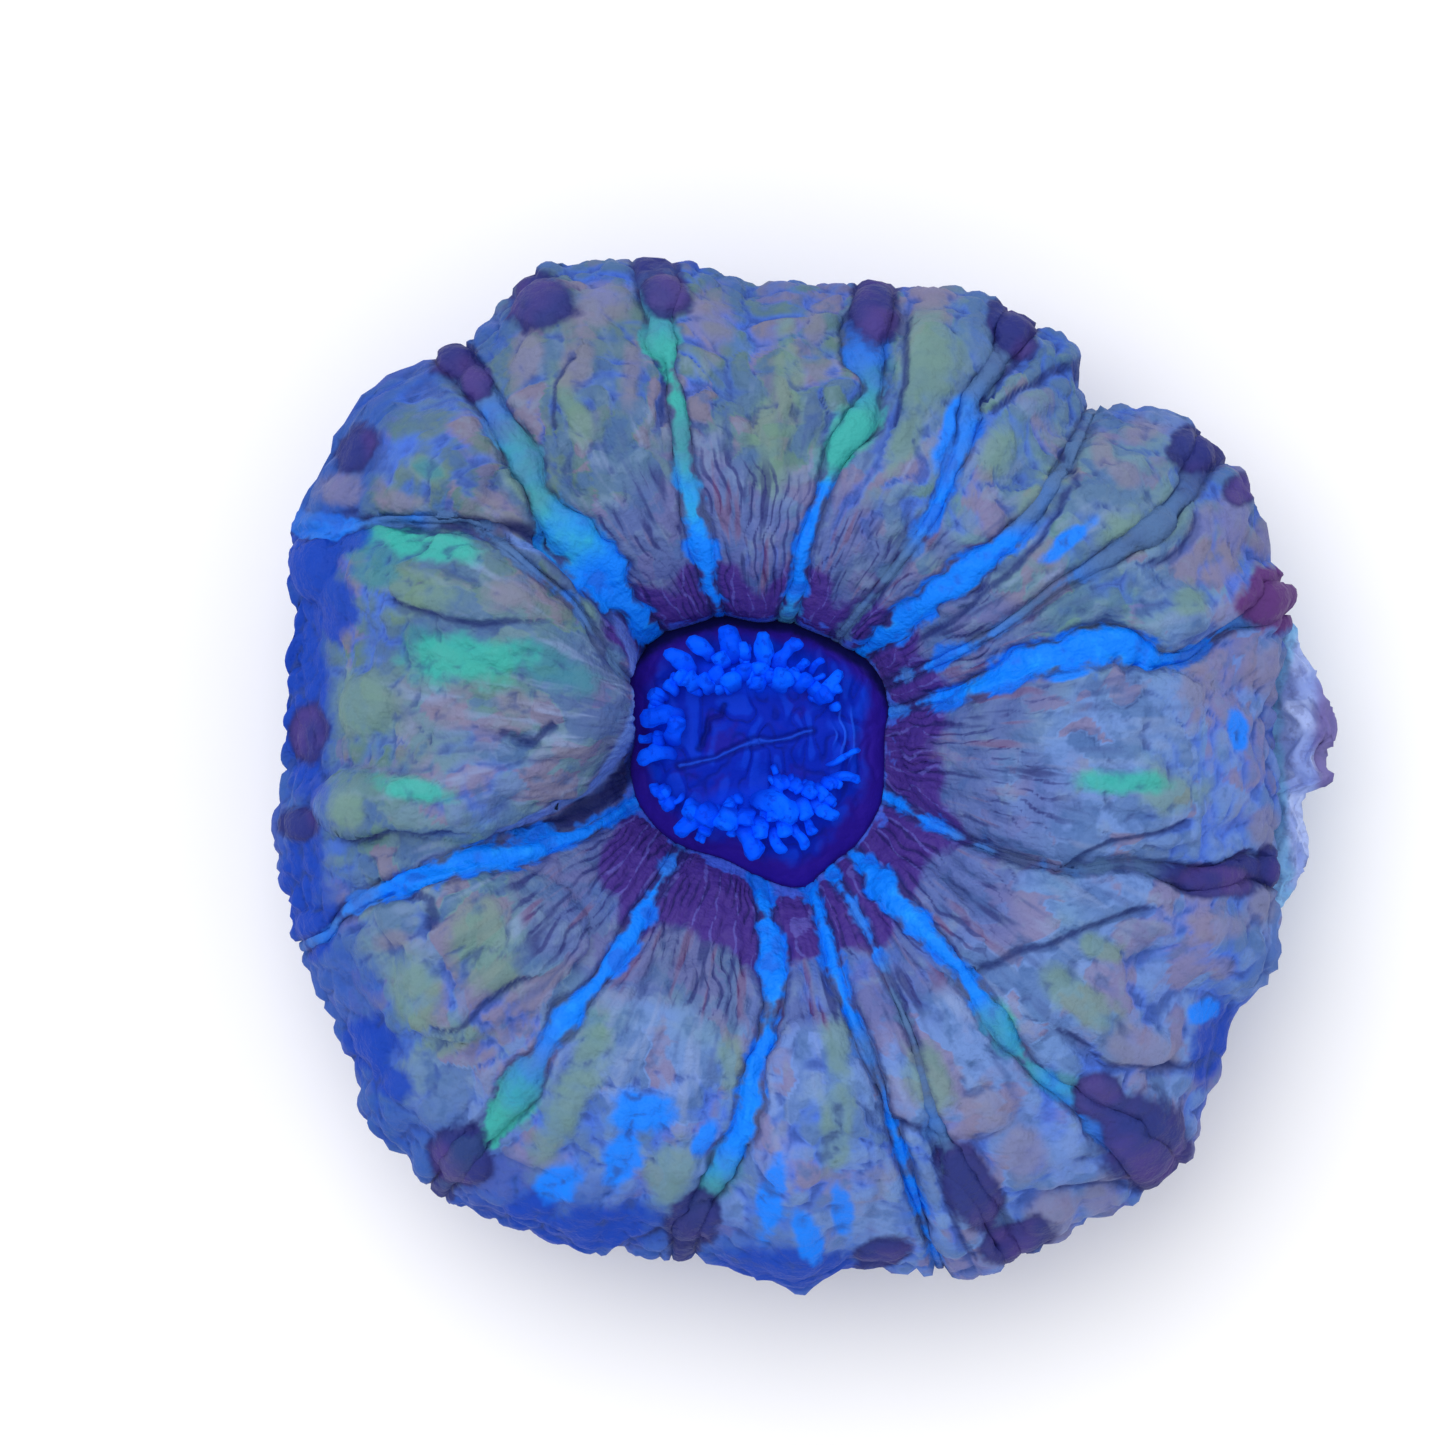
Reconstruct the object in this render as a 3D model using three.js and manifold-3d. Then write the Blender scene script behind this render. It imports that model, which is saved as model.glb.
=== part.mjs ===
// Button coral: one inflated, fleshy polyp on its stony skeleton, cut off flat underneath.
// Millimetres, +Z up. The origin is the centre of the flat cut, under the mouth. +X is the side
// where the flesh has drawn back and the toothed edge of the skeleton shows.
import * as THREE from "three";
import { mergeVertices } from "three/addons/utils/BufferGeometryUtils.js";
import Module from "manifold-3d";

const DEGREE = Math.PI / 180;

// Heights above the cut base.
const CREST_HEIGHT = 36.5; // top of the ring of lobes
const DISC_HEIGHT = 26.6; // the sunken disc around the mouth
const FOOT_HEIGHT = 24.6; // the moat between the disc and the lobes
const RIM_HEIGHT = 20.5; // the widest part of the flesh
const SKIRT_HEIGHT = 11.5; // the lower edge of the flesh
const CUP_HEIGHT = 18; // top of the skeleton's rim

// Skeleton.
const BASE_RADIUS = 27;
const CUP_INSET = 7; // how far the flesh hangs out past the skeleton
const BARE_CUP_RADIUS = 56.4; // the skeleton's rim where it stands bare
const BARE_FROM = -19; // degrees; the bare stretch of rim
const BARE_TO = 12;
const BARE_FADE = 9;
const RIB_COUNT = 48;
const RIB_HEIGHT = 0.8;
const TOOTH_LENGTH = 1.5; // teeth of the bare rim
const FLESH_GAP = 0.5; // between the flesh and the ribs under it

// Radius of the flesh at its rim, every 5 degrees from +X.
const RIM_RADII = [
  51.9, 52.5, 54.3, 57.2, 54.6, 55.3, 55.1, 54, 50.8, 47.6, 49.2, 50.3,
  50.1, 49.5, 48.1, 47.9, 46.3, 45.9, 45.5, 46.6, 49.1, 49.9, 50.7, 51.9,
  50.8, 49.6, 51, 51.4, 52.3, 51.6, 51.3, 51.2, 50.1, 47.7, 47.3, 47.4,
  46.9, 47.3, 49.4, 50, 49.9, 51.4, 51.2, 51.4, 52.7, 55.4, 55.5, 56.8,
  56, 55.4, 54.9, 53.5, 54, 53.5, 55.1, 56.1, 54.4, 56.2, 58.8, 59.1,
  59.1, 58.9, 60.3, 60.9, 58.6, 56.8, 54.8, 57.1, 56.3, 55.8, 53.9, 52.9,
];
// Radius of the foot of the inner wall of the lobes, every 15 degrees.
const FOOT_RADII = [
  12.8, 13.5, 13.5, 12.4, 11.8, 11.6, 11.3, 12.2, 12.8, 13.8, 14, 13,
  12.2, 13.1, 13.6, 13.7, 13.2, 12.9, 14, 15.8, 14.9, 14.7, 14.2, 13.2,
];
// How the inner wall of the lobes rises, every 15 degrees: below 1 it is steep, above 1 it is a long slope.
const WALL_SLOPES = [
  1.15, 1.1, 1.05, 1, 0.9, 0.85, 0.8, 0.8, 0.85, 0.95, 0.75, 0.45,
  0.5, 1.2, 1.25, 1.1, 1.1, 1.15, 1.15, 1.1, 1.1, 1.15, 1.2, 1.2,
];

// Stations run from the foot of the inner wall (0) to the rim (1).
const STATIONS = [0, 0.25, 0.5, 0.75, 1];
// The narrow smooth bands that part the lobes: their direction in degrees and half width at each station.
const BANDS = [
  { angle: [10, 12, 13.5, 10.8, 14.5], half: [0.8, 1, 1.5, 1.1, 2.3] },
  { angle: [21.5, 23, 26.5, 27.5, 32], half: [0.6, 0.8, 1, 1.9, 2.4] },
  { angle: [38, 38, 39, 40.5, 44], half: [0.7, 1.3, 1.2, 1, 0.7] },
  { angle: [51, 51, 54, 57, 57.5], half: [0.5, 1.2, 1, 0.9, 2.4] },
  { angle: [74.5, 74.5, 71.5, 73.5, 75], half: [1.1, 1.5, 1.6, 2.3, 2.2] },
  { angle: [107.5, 105.8, 104.2, 104, 102.5], half: [0.5, 0.9, 1.1, 1.2, 2.4] },
  { angle: [134.5, 133.5, 132.5, 130, 128.5], half: [0.7, 1.9, 1.5, 1.3, 2.2] },
  { angle: [156, 144, 142, 149, 157], half: [0.4, 0.4, 0.5, 1, 2.8] },
  { angle: [209.5, 207, 203, 202.5, 205], half: [0.5, 1.1, 1, 1, 0.9] },
  { angle: [232, 237.5, 236, 236, 235], half: [0.6, 0.8, 0.8, 1.7, 2.9] },
  { angle: [271, 274, 269.5, 266.5, 262], half: [0.9, 1.5, 1, 1.3, 2.6] },
  { angle: [289.5, 288, 289, 289, 289], half: [0.8, 1.1, 0.9, 0.5, 0.6] },
  { angle: [298.5, 299, 297, 294.5, 296], half: [0.5, 0.6, 0.5, 1.5, 2.9] },
  { angle: [309.5, 309.5, 309.3, 310.5, 312.5], half: [0.7, 1.5, 1.3, 1.7, 4.2] },
  { angle: [335, 333.5, 337, 341, 344.5], half: [0.7, 0.6, 0.5, 1.2, 1.8] },
];

// Rounded swellings. at: x and y from the mouth. size: half length and half width. turn: degrees
// from +X to the long axis. high: how far it stands out. The large ones carry the small ones.
const SWELLINGS = [
  { at: [-32.7, 5.2], size: [20.8, 15.6], turn: -4, high: 4.8 },
  { at: [33.3, -2.5], size: [18.5, 9.8], turn: 0, high: 2.5 },
  { at: [-28.7, -21.5], size: [12, 8.5], turn: 15, high: 2.2 },
  { at: [5.8, -40.5], size: [13, 6.5], turn: 88, high: 2 },
  { at: [-33.2, 29.5], size: [8.5, 6], turn: 130, high: 1.5 },
];
const BUBBLES = [
  { at: [-38.2, 3.5], size: [4.8, 4.6], turn: 0, high: 1.6 },
  { at: [-41.7, -7.5], size: [5.5, 4.5], turn: 0, high: 2.2 },
  { at: [-43.9, 17.5], size: [3.8, 3.6], turn: 0, high: 2.4 },
  { at: [-40.5, 29.5], size: [2.6, 2.4], turn: 0, high: 1.8 },
  { at: [-30.7, 38.3], size: [2.6, 2.4], turn: 0, high: 1.8 },
  { at: [-21.7, 43.2], size: [3.6, 3.3], turn: 90, high: 2.4 },
  { at: [16.8, 36], size: [6, 4.5], turn: 70, high: 1.8 },
  { at: [21.8, 38], size: [4, 2.5], turn: 110, high: 1.2 },
  { at: [26.8, 40.5], size: [3.4, 2.6], turn: 120, high: 1.6 },
  { at: [36.3, 29.5], size: [6, 5], turn: 40, high: 1.4 },
  { at: [38.3, 20.5], size: [4.6, 2.6], turn: 20, high: 1.4 },
  { at: [42.4, 27], size: [4.2, 2.6], turn: 100, high: 1.6 },
  { at: [47.6, 21.5], size: [4.8, 4], turn: 110, high: 1.4 },
  { at: [51.6, 12.5], size: [3.4, 3], turn: 90, high: 2.2 },
  { at: [48.8, -5.5], size: [4.6, 2.8], turn: 90, high: 1.4 },
  { at: [43.8, -14.5], size: [5, 2.4], turn: 5, high: 1.2 },
  { at: [45.2, -19], size: [4.4, 2.4], turn: -10, high: 1 },
  { at: [35.8, -27.5], size: [9.5, 4], turn: -35, high: 2 },
  { at: [24.3, -17.5], size: [7, 3.5], turn: -30, high: 1.2 },
  { at: [37.4, -39], size: [6, 5], turn: -40, high: 2.4 },
  { at: [21.8, -45.5], size: [6.5, 2.8], turn: -65, high: 2 },
  { at: [28.3, -41], size: [5, 4.5], turn: 90, high: 1.4 },
  { at: [29.3, -48], size: [3.8, 3], turn: -30, high: 1.4 },
  { at: [20.8, -35.5], size: [4, 3.5], turn: 0, high: 1.4 },
  { at: [-11.7, -43.5], size: [8, 5], turn: 70, high: 1.6 },
  { at: [-29.5, -41], size: [4.2, 4], turn: 50, high: 2.2 },
  { at: [-6.7, -49], size: [3.6, 3], turn: 80, high: 1.8 },
  { at: [-37, -31], size: [4, 3], turn: 40, high: 1.4 },
];

// Small finger-like tentacles on the disc, in arcs. Angles are in degrees.
const TENTACLE_ARCS = [
  { from: 32, to: 148, radius: 8.6, count: 9 },
  { from: 40, to: 140, radius: 6.2, count: 7 },
  { from: 168, to: 196, radius: 9.8, count: 3 },
  { from: 216, to: 332, radius: 9.6, count: 11 },
  { from: 226, to: 322, radius: 7.4, count: 8 },
];
const TENTACLE_LENGTH = 2.6;
const TENTACLE_WIDTH = 1.7;
const TENTACLE_HEIGHT = 1.1;

// The mouth is a long slit between two low lips.
const MOUTH_TURN = 18;
const MOUTH_LENGTH = 5;
const LIP_HEIGHT = 0.9;

// A smooth curve through (xs, ys) that never overshoots: cubic pieces with harmonic mean slopes.
function curveThrough(xs, ys) {
  const secants = xs.slice(1).map((x, i) => (ys[i + 1] - ys[i]) / (x - xs[i]));
  const slopes = xs.map((_, i) => {
    const before = secants[Math.max(i - 1, 0)];
    const after = secants[Math.min(i, secants.length - 1)];
    return before * after <= 0 ? 0 : (2 * before * after) / (before + after);
  });
  return (x) => {
    const clamped = THREE.MathUtils.clamp(x, xs[0], xs[xs.length - 1]);
    let i = 0;
    while (i < xs.length - 2 && clamped > xs[i + 1]) i += 1;
    const width = xs[i + 1] - xs[i];
    const t = (clamped - xs[i]) / width;
    const rise = ys[i + 1] - ys[i];
    const entry = slopes[i] * width;
    const exit = slopes[i + 1] * width;
    return ys[i] + t * (entry + t * (3 * rise - 2 * entry - exit + t * (entry + exit - 2 * rise)));
  };
}

// The same kind of value given at even steps all the way round, at any angle in radians.
function around(values, angle) {
  const count = values.length;
  const place = (((angle / (2 * Math.PI)) % 1) + 1) % 1;
  const i = Math.floor(place * count);
  const t = place * count - i;
  const [a, b, c, d] = [-1, 0, 1, 2].map((k) => values[(i + k + count) % count]);
  return b + 0.5 * t * (c - a + t * (2 * a - 5 * b + 4 * c - d + t * (3 * (b - c) + d - a)));
}

const smoothStep = (from, to, x) => THREE.MathUtils.smoothstep(x, from, to);

// 1 where the skeleton's rim is bare, 0 where the flesh hangs over it.
function bareness(angle) {
  const degrees = ((angle / DEGREE + 540) % 360) - 180;
  return (
    smoothStep(BARE_FROM - BARE_FADE, BARE_FROM, degrees) *
    (1 - smoothStep(BARE_TO, BARE_TO + BARE_FADE, degrees))
  );
}

const rimRadius = (angle) => around(RIM_RADII, angle);
const footRadius = (angle) => around(FOOT_RADII, angle);
const cupRadius = (angle) =>
  THREE.MathUtils.lerp(rimRadius(angle) - CUP_INSET, BARE_CUP_RADIUS, bareness(angle));

// Height of the lobes from the foot of their inner wall to the rim, before any relief.
const lobeHeight = curveThrough(
  [0, 0.05, 0.12, 0.25, 0.42, 0.6, 0.78, 0.9, 0.97, 1],
  [FOOT_HEIGHT, 28.5, 31.5, 35, CREST_HEIGHT, 35.6, 31.6, 27.2, 23.4, RIM_HEIGHT],
);
// Height of the disc from the mouth (0) to the foot of the lobes (1).
const discHeight = curveThrough(
  [0, 0.3, 0.6, 0.85, 1],
  [DISC_HEIGHT + 0.4, DISC_HEIGHT, DISC_HEIGHT + 0.3, DISC_HEIGHT - 0.6, FOOT_HEIGHT],
);
const creaseDepth = curveThrough([0, 0.2, 0.5, 0.8, 1], [0.7, 1.2, 1.9, 2.3, 2]);
// How far a band's middle lies below the lobes.
const bandDip = curveThrough([0, 0.5, 0.8, 1], [0.2, 0.9, 1, 0.4]);
const BAND_FULLNESS = 1.1; // a band rises from its creases by at most this times its half width

// Cross-section of an inflated fold: 1 along its middle, falling steeply to 0 at its creases.
const pillow = (across) => Math.sqrt(1 - Math.min(1, Math.abs(across)) ** 2.4);

// Each sector is a lobe or a band. Its columns crowd towards the creases, where the surface is steep.
function sectorColumns() {
  const columns = [];
  BANDS.forEach((band, index) => {
    const next = BANDS[(index + 1) % BANDS.length];
    const turn = index === BANDS.length - 1 ? 360 : 0;
    const bandAngle = curveThrough(STATIONS, band.angle);
    const bandHalf = curveThrough(STATIONS, band.half);
    const nextAngle = curveThrough(STATIONS, next.angle);
    const nextHalf = curveThrough(STATIONS, next.half);
    const lobeWidth = next.angle[2] + turn - band.angle[2];
    const bandParts = 3;
    const lobeParts = THREE.MathUtils.clamp(Math.round(lobeWidth / 3.6), 4, 10);
    for (let part = 0; part < bandParts; part += 1) {
      const across = (2 * part) / bandParts - 1;
      columns.push({
        angleAt: (share, radius) =>
          bandAngle(share) * DEGREE + (across * bandHalf(share)) / radius,
        foldAt: (share) => {
          const depth = creaseDepth(share);
          const rise = Math.min(depth - bandDip(share), BAND_FULLNESS * bandHalf(share));
          return rise * pillow(across) - depth;
        },
      });
    }
    for (let part = 0; part < lobeParts; part += 1) {
      const across = Math.sin(((2 * part) / lobeParts - 1) * 0.5 * Math.PI);
      columns.push({
        angleAt: (share, radius) => {
          const from = bandAngle(share) * DEGREE + bandHalf(share) / radius;
          const to = (nextAngle(share) + turn) * DEGREE - nextHalf(share) / radius;
          return THREE.MathUtils.lerp(from, to, (across + 1) / 2);
        },
        foldAt: (share) => creaseDepth(share) * (pillow(across) - 1),
      });
    }
  });
  return columns;
}

// How far the nearest of several domes stands out at (x, y). A dome's height falls as a quarter circle.
function domes(list, x, y) {
  let best = 0;
  for (const { at, size, turn, high } of list) {
    const dx = x - at[0];
    const dy = y - at[1];
    const cosine = Math.cos(turn * DEGREE);
    const sine = Math.sin(turn * DEGREE);
    const along = (dx * cosine + dy * sine) / size[0];
    const across = (dy * cosine - dx * sine) / size[1];
    const distance = Math.hypot(along, across);
    if (distance < 1) best = Math.max(best, high * Math.sqrt(1 - distance ** 2));
  }
  return best;
}

const tentacles = TENTACLE_ARCS.flatMap(({ from, to, radius, count }) =>
  Array.from({ length: count }, (_, i) => {
    const angle = THREE.MathUtils.lerp(from, to, i / (count - 1));
    return {
      at: [radius * Math.cos(angle * DEGREE), radius * Math.sin(angle * DEGREE)],
      size: [TENTACLE_LENGTH / 2, TENTACLE_WIDTH / 2],
      turn: angle,
      high: TENTACLE_HEIGHT,
    };
  }),
);

function mouthRelief(x, y) {
  const cosine = Math.cos(MOUTH_TURN * DEGREE);
  const sine = Math.sin(MOUTH_TURN * DEGREE);
  const along = (x * cosine + y * sine) / MOUTH_LENGTH;
  const across = y * cosine - x * sine;
  const lips = Math.exp(-(along ** 2) - (across / 1.6) ** 2);
  const slit = Math.exp(-(along ** 4) - (across / 0.6) ** 2);
  return LIP_HEIGHT * (lips - 1.6 * slit);
}

// A point of the disc: share runs from the mouth (0) to the foot of the lobes (1).
function discPoint(column, share) {
  const foot = footRadius(column.angleAt(0, 13));
  const angle = column.angleAt(0, foot);
  const radius = share * foot;
  const x = radius * Math.cos(angle);
  const y = radius * Math.sin(angle);
  const height = discHeight(share) + mouthRelief(x, y) + domes(tentacles, x, y);
  return new THREE.Vector3(x, y, height);
}

// A point of the lobes: the smooth ring, pushed out or in along its own normal by the relief.
function lobePoint(column, share) {
  const roughly = column.angleAt(share, 30);
  const radius = THREE.MathUtils.lerp(footRadius(roughly), rimRadius(roughly), share);
  const angle = column.angleAt(share, radius);
  const slope = around(WALL_SLOPES, angle);
  const step = 0.01;
  const heightAt = (s) => lobeHeight(THREE.MathUtils.clamp(s, 0, 1) ** slope);
  const width = rimRadius(angle) - footRadius(angle);
  const run = (Math.min(share + step, 1) - Math.max(share - step, 0)) * width;
  const rise = heightAt(share + step) - heightAt(share - step);
  const outward = -rise / Math.hypot(run, rise);
  const upward = run / Math.hypot(run, rise);
  const x = radius * Math.cos(angle);
  const y = radius * Math.sin(angle);
  const swelling = domes(SWELLINGS, x, y) * (1 - 0.85 * smoothStep(0.6, 1, share));
  const relief = column.foldAt(share) + swelling + 0.8 * domes(BUBBLES, x, y);
  const atFoot = smoothStep(0, 0.06, share);
  const reach = radius + outward * relief * atFoot;
  return new THREE.Vector3(
    reach * Math.cos(angle),
    reach * Math.sin(angle),
    heightAt(share) + upward * relief * atFoot,
  );
}

// The flesh curls under its rim and ends on the skeleton: on its wall, or on its top where that is bare.
function skirtPoint(column, share) {
  const start = lobePoint(column, 1);
  const angle = Math.atan2(start.y, start.x);
  const bare = bareness(angle);
  const wall = wallRadius(angle, SKIRT_HEIGHT) - 1.5;
  const endRadius = THREE.MathUtils.lerp(wall, rimRadius(angle) - 3.4, bare);
  const endHeight = THREE.MathUtils.lerp(SKIRT_HEIGHT, 14.2, bare);
  const startRadius = Math.hypot(start.x, start.y);
  const inward = 1 - Math.cos(share * 0.5 * Math.PI);
  const radius = THREE.MathUtils.lerp(startRadius, endRadius, inward);
  const height = THREE.MathUtils.lerp(start.z, endHeight, Math.sin(share * 0.5 * Math.PI));
  return new THREE.Vector3(radius * Math.cos(angle), radius * Math.sin(angle), height);
}

// The skeleton's outline from the base up the wall, over the rim and down into the cup.
function skeletonProfile(angle) {
  const cup = cupRadius(angle);
  const wall = (share) => BASE_RADIUS + share * (cup - BASE_RADIUS);
  return [
    [BASE_RADIUS, 0],
    [wall(0.36), 5.5],
    [wall(0.7), 11],
    [cup, CUP_HEIGHT - 2.4],
    [cup - 0.6, CUP_HEIGHT - 0.5],
    [cup - 2.4, CUP_HEIGHT],
    [cup - 7, CUP_HEIGHT - 2.6],
    [24, 12],
  ];
}

function wallRadius(angle, height) {
  const wall = skeletonProfile(angle).slice(0, 4);
  return curveThrough(wall.map(([, z]) => z), wall.map(([r]) => r))(height);
}

// How far the ribs stand out at each point of that outline: none at the base, most at the rim.
const RIB_SHARES = [0.5, 0.8, 1, 1.3, 1.3, 0.9, 0.4, 0];

// One closed surface of rings of equal length, with a fan at each end.
function closedSurface(rings, top, bottom) {
  const points = [...rings.flat(), top, bottom];
  const count = rings[0].length;
  const topIndex = points.length - 2;
  const bottomIndex = points.length - 1;
  const triangles = [];
  rings.forEach((_, row) => {
    for (let i = 0; i < count; i += 1) {
      const next = (i + 1) % count;
      const here = row * count;
      const below = here + count;
      if (row === 0) triangles.push(topIndex, i, next);
      if (row === rings.length - 1) triangles.push(bottomIndex, here + next, here + i);
      else triangles.push(here + i, below + i, below + next, here + i, below + next, here + next);
    }
  });
  const geometry = new THREE.BufferGeometry().setFromPoints(points);
  return geometry.setIndex(triangles);
}

function fleshSurface() {
  const columns = sectorColumns();
  const discShares = [0.08, 0.18, 0.3, 0.42, 0.5, 0.58, 0.66, 0.74, 0.84, 0.94];
  const lobeShares = [0, 0.05, 0.11, 0.19, 0.28, 0.38, 0.48, 0.58, 0.68, 0.77, 0.85, 0.92, 1];
  const skirtShares = [0.3, 0.65, 1];
  const rings = [
    ...discShares.map((share) => columns.map((column) => discPoint(column, share))),
    ...lobeShares.map((share) => columns.map((column) => lobePoint(column, share))),
    ...skirtShares.map((share) => columns.map((column) => skirtPoint(column, share))),
  ];
  const top = new THREE.Vector3(0, 0, discHeight(0) + mouthRelief(0, 0));
  return closedSurface(rings, top, new THREE.Vector3(0, 0, 5));
}

// gap swells the surface and smooths its ribs away, for cutting the flesh to fit.
function skeletonSurface(ribCount, ribHeight, gap) {
  const columnCount = ribCount * 2;
  const angles = Array.from({ length: columnCount }, (_, i) => (i / columnCount) * 2 * Math.PI);
  const levels = skeletonProfile(0).map((_, level) => level).reverse();
  const rings = levels.map((level) =>
    angles.map((angle, i) => {
      const [radius, height] = skeletonProfile(angle)[level];
      const crest = i % 2 === 0 ? 1 : -1;
      const isTooth = level >= 3 && level <= 5;
      const toothShare = isTooth ? bareness(angle) * TOOTH_LENGTH : 0;
      const rib = crest * ribHeight * (RIB_SHARES[level] + toothShare);
      const onTop = level > 4;
      const reach = radius + (onTop ? 0 : rib + gap);
      const lift = onTop ? rib / 2 + gap : 0;
      return new THREE.Vector3(reach * Math.cos(angle), reach * Math.sin(angle), height + lift);
    }),
  );
  const middle = new THREE.Vector3(0, 0, 10 + gap);
  return closedSurface(rings, middle, new THREE.Vector3(0, 0, 0));
}

const wasm = await Module();
wasm.setup();

function solidFrom(geometry) {
  const merged = mergeVertices(geometry, 1e-3);
  return new wasm.Manifold(
    new wasm.Mesh({
      numProp: 3,
      vertProperties: merged.attributes.position.array,
      triVerts: new Uint32Array(merged.index.array),
    }),
  );
}

function geometryOf(solid) {
  const { vertProperties, triVerts } = solid.getMesh();
  const geometry = new THREE.BufferGeometry();
  geometry.setAttribute("position", new THREE.BufferAttribute(vertProperties, 3));
  geometry.setIndex(new THREE.BufferAttribute(triVerts, 1));
  geometry.computeVertexNormals();
  return geometry;
}

function makeSkeleton() {
  const stone = new THREE.MeshStandardMaterial({ color: "#8f94bd", roughness: 0.85, metalness: 0 });
  const geometry = geometryOf(solidFrom(skeletonSurface(RIB_COUNT, RIB_HEIGHT, 0)));
  const mesh = new THREE.Mesh(geometry, stone);
  mesh.name = "skeleton";
  return mesh;
}

function makePolyp() {
  const flesh = new THREE.MeshStandardMaterial({ color: "#5f7aa0", roughness: 0.45, metalness: 0 });
  const seat = solidFrom(skeletonSurface(RIB_COUNT / 2, 0, FLESH_GAP + 2 * RIB_HEIGHT));
  const geometry = geometryOf(solidFrom(fleshSurface()).subtract(seat));
  const mesh = new THREE.Mesh(geometry, flesh);
  mesh.name = "polyp";
  return mesh;
}

const coral = new THREE.Group();
coral.add(makeSkeleton(), makePolyp());

export default coral;
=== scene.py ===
"""A button coral: one inflated polyp on its cut skeleton, on a pale floor, seen from straight above."""

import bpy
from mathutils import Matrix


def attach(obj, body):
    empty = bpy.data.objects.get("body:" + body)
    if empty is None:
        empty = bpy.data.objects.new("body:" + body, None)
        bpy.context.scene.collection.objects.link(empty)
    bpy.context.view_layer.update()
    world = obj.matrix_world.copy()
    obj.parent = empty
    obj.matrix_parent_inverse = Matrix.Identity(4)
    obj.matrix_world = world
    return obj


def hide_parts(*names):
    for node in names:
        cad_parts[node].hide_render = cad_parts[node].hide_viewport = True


bl_info = {
    "name": "Button Coral",
    "version": (1, 0, 0),
    "blender": (4, 5, 0),
    "location": "View3D > Sidebar > Coral",
    "description": "Builds an inflated coral polyp on its stony skeleton",
    "category": "Add Mesh",
}

import math

import bpy
import numpy as np

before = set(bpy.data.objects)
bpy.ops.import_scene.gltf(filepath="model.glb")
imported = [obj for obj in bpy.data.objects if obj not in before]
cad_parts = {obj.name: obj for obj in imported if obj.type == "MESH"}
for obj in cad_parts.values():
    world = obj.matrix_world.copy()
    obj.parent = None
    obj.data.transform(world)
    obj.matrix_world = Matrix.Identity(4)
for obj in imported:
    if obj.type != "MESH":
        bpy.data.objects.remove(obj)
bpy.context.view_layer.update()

MM = 0.001
TURN = 2 * math.pi

# The photograph: its size in pixels, where the mouth is in it, and the real size of a pixel there.
PHOTO_PIXELS = 1445
MOUTH_PIXEL = (757, 735)
PIXEL_MM = 0.1

# All lengths below are millimetres from the mouth's axis: +X is the photograph's right, +Y its top.

# Radius of the flesh at its rim, every 5 degrees from +X.
RIM_RADII = [
    51.9, 52.5, 54.3, 57.2, 54.6, 55.3, 55.1, 54.0, 50.8, 47.6, 49.2, 50.3,
    50.1, 49.5, 48.1, 47.9, 46.3, 45.9, 45.5, 46.6, 49.1, 49.9, 50.7, 51.9,
    50.8, 49.6, 51.0, 51.4, 52.3, 51.6, 51.3, 51.2, 50.1, 47.7, 47.3, 47.4,
    46.9, 47.3, 49.4, 50.0, 49.9, 51.4, 51.2, 51.4, 52.7, 55.4, 55.5, 56.8,
    56.0, 55.4, 54.9, 53.5, 54.0, 53.5, 55.1, 56.1, 54.4, 56.2, 58.8, 59.1,
    59.1, 58.9, 60.3, 60.9, 58.6, 56.8, 54.8, 57.1, 56.0, 55.1, 53.3, 52.7,
]
# Radius of the foot of the inner wall, every 15 degrees.
FOOT_RADII = [
    12.8, 13.5, 13.5, 12.4, 11.8, 11.6, 11.3, 12.2, 12.8, 13.8, 14.0, 13.0,
    12.2, 13.1, 13.6, 13.7, 13.2, 12.9, 14.0, 15.8, 14.9, 14.7, 14.2, 13.2,
]
# Below 1 the inner wall of the lobes is steep, above 1 it is a long slope. Every 15 degrees.
WALL_SLOPES = [
    1.15, 1.1, 1.05, 1.0, 0.9, 0.85, 0.8, 0.8, 0.85, 0.95, 0.75, 0.45,
    0.5, 1.2, 1.25, 1.1, 1.1, 1.15, 1.15, 1.1, 1.1, 1.15, 1.2, 1.2,
]

FOOT_MEAN = 13.0  # radius of the foot of the inner wall, all round
RING_MEAN = 38.0  # width of the ring of flesh, all round
COLUMN_WIDTH = 0.36  # of the mesh, across a band
GRAIN_RADIUS = 20  # where the grain of the skin has its true size
DOME_RISE = 0.85  # share of a cell's height that its dome gets
BAND_FADE = 0.3  # by how much a band and a cell narrow with each row under the rim
CELL_FADE = 0.15
SKIRT_STEP = 0.9  # between the rows under the rim
DISC_UNDERSIDE = 20.0
MIDDLING_TENTACLE = 1.6  # width of one
TENTACLE_SEED = 11
RIB_TURNS = 24  # half as many as the ribs of either height

CUP_INSET = 7.0  # how far the skeleton's rim lies inside the rim of the flesh
BARE_STRETCH = (-19.0, 11.0)  # degrees; where the skeleton's rim is bare
BARE_FADE = 8.0  # degrees; over which the flesh comes back on either side
# The skeleton's rim where it is bare: direction in degrees, radius.
BARE_RIM = [
    (-24, 54.0), (-17.5, 56.0), (-14, 57.0), (-10.5, 56.8), (-8.7, 56.0), (-6.1, 55.8), (-4.5, 58.4),
    (-2.4, 57.6), (0.5, 58.8), (4.1, 57.2), (7.1, 56.8), (10, 55.6), (20, 54.5),
]

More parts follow.
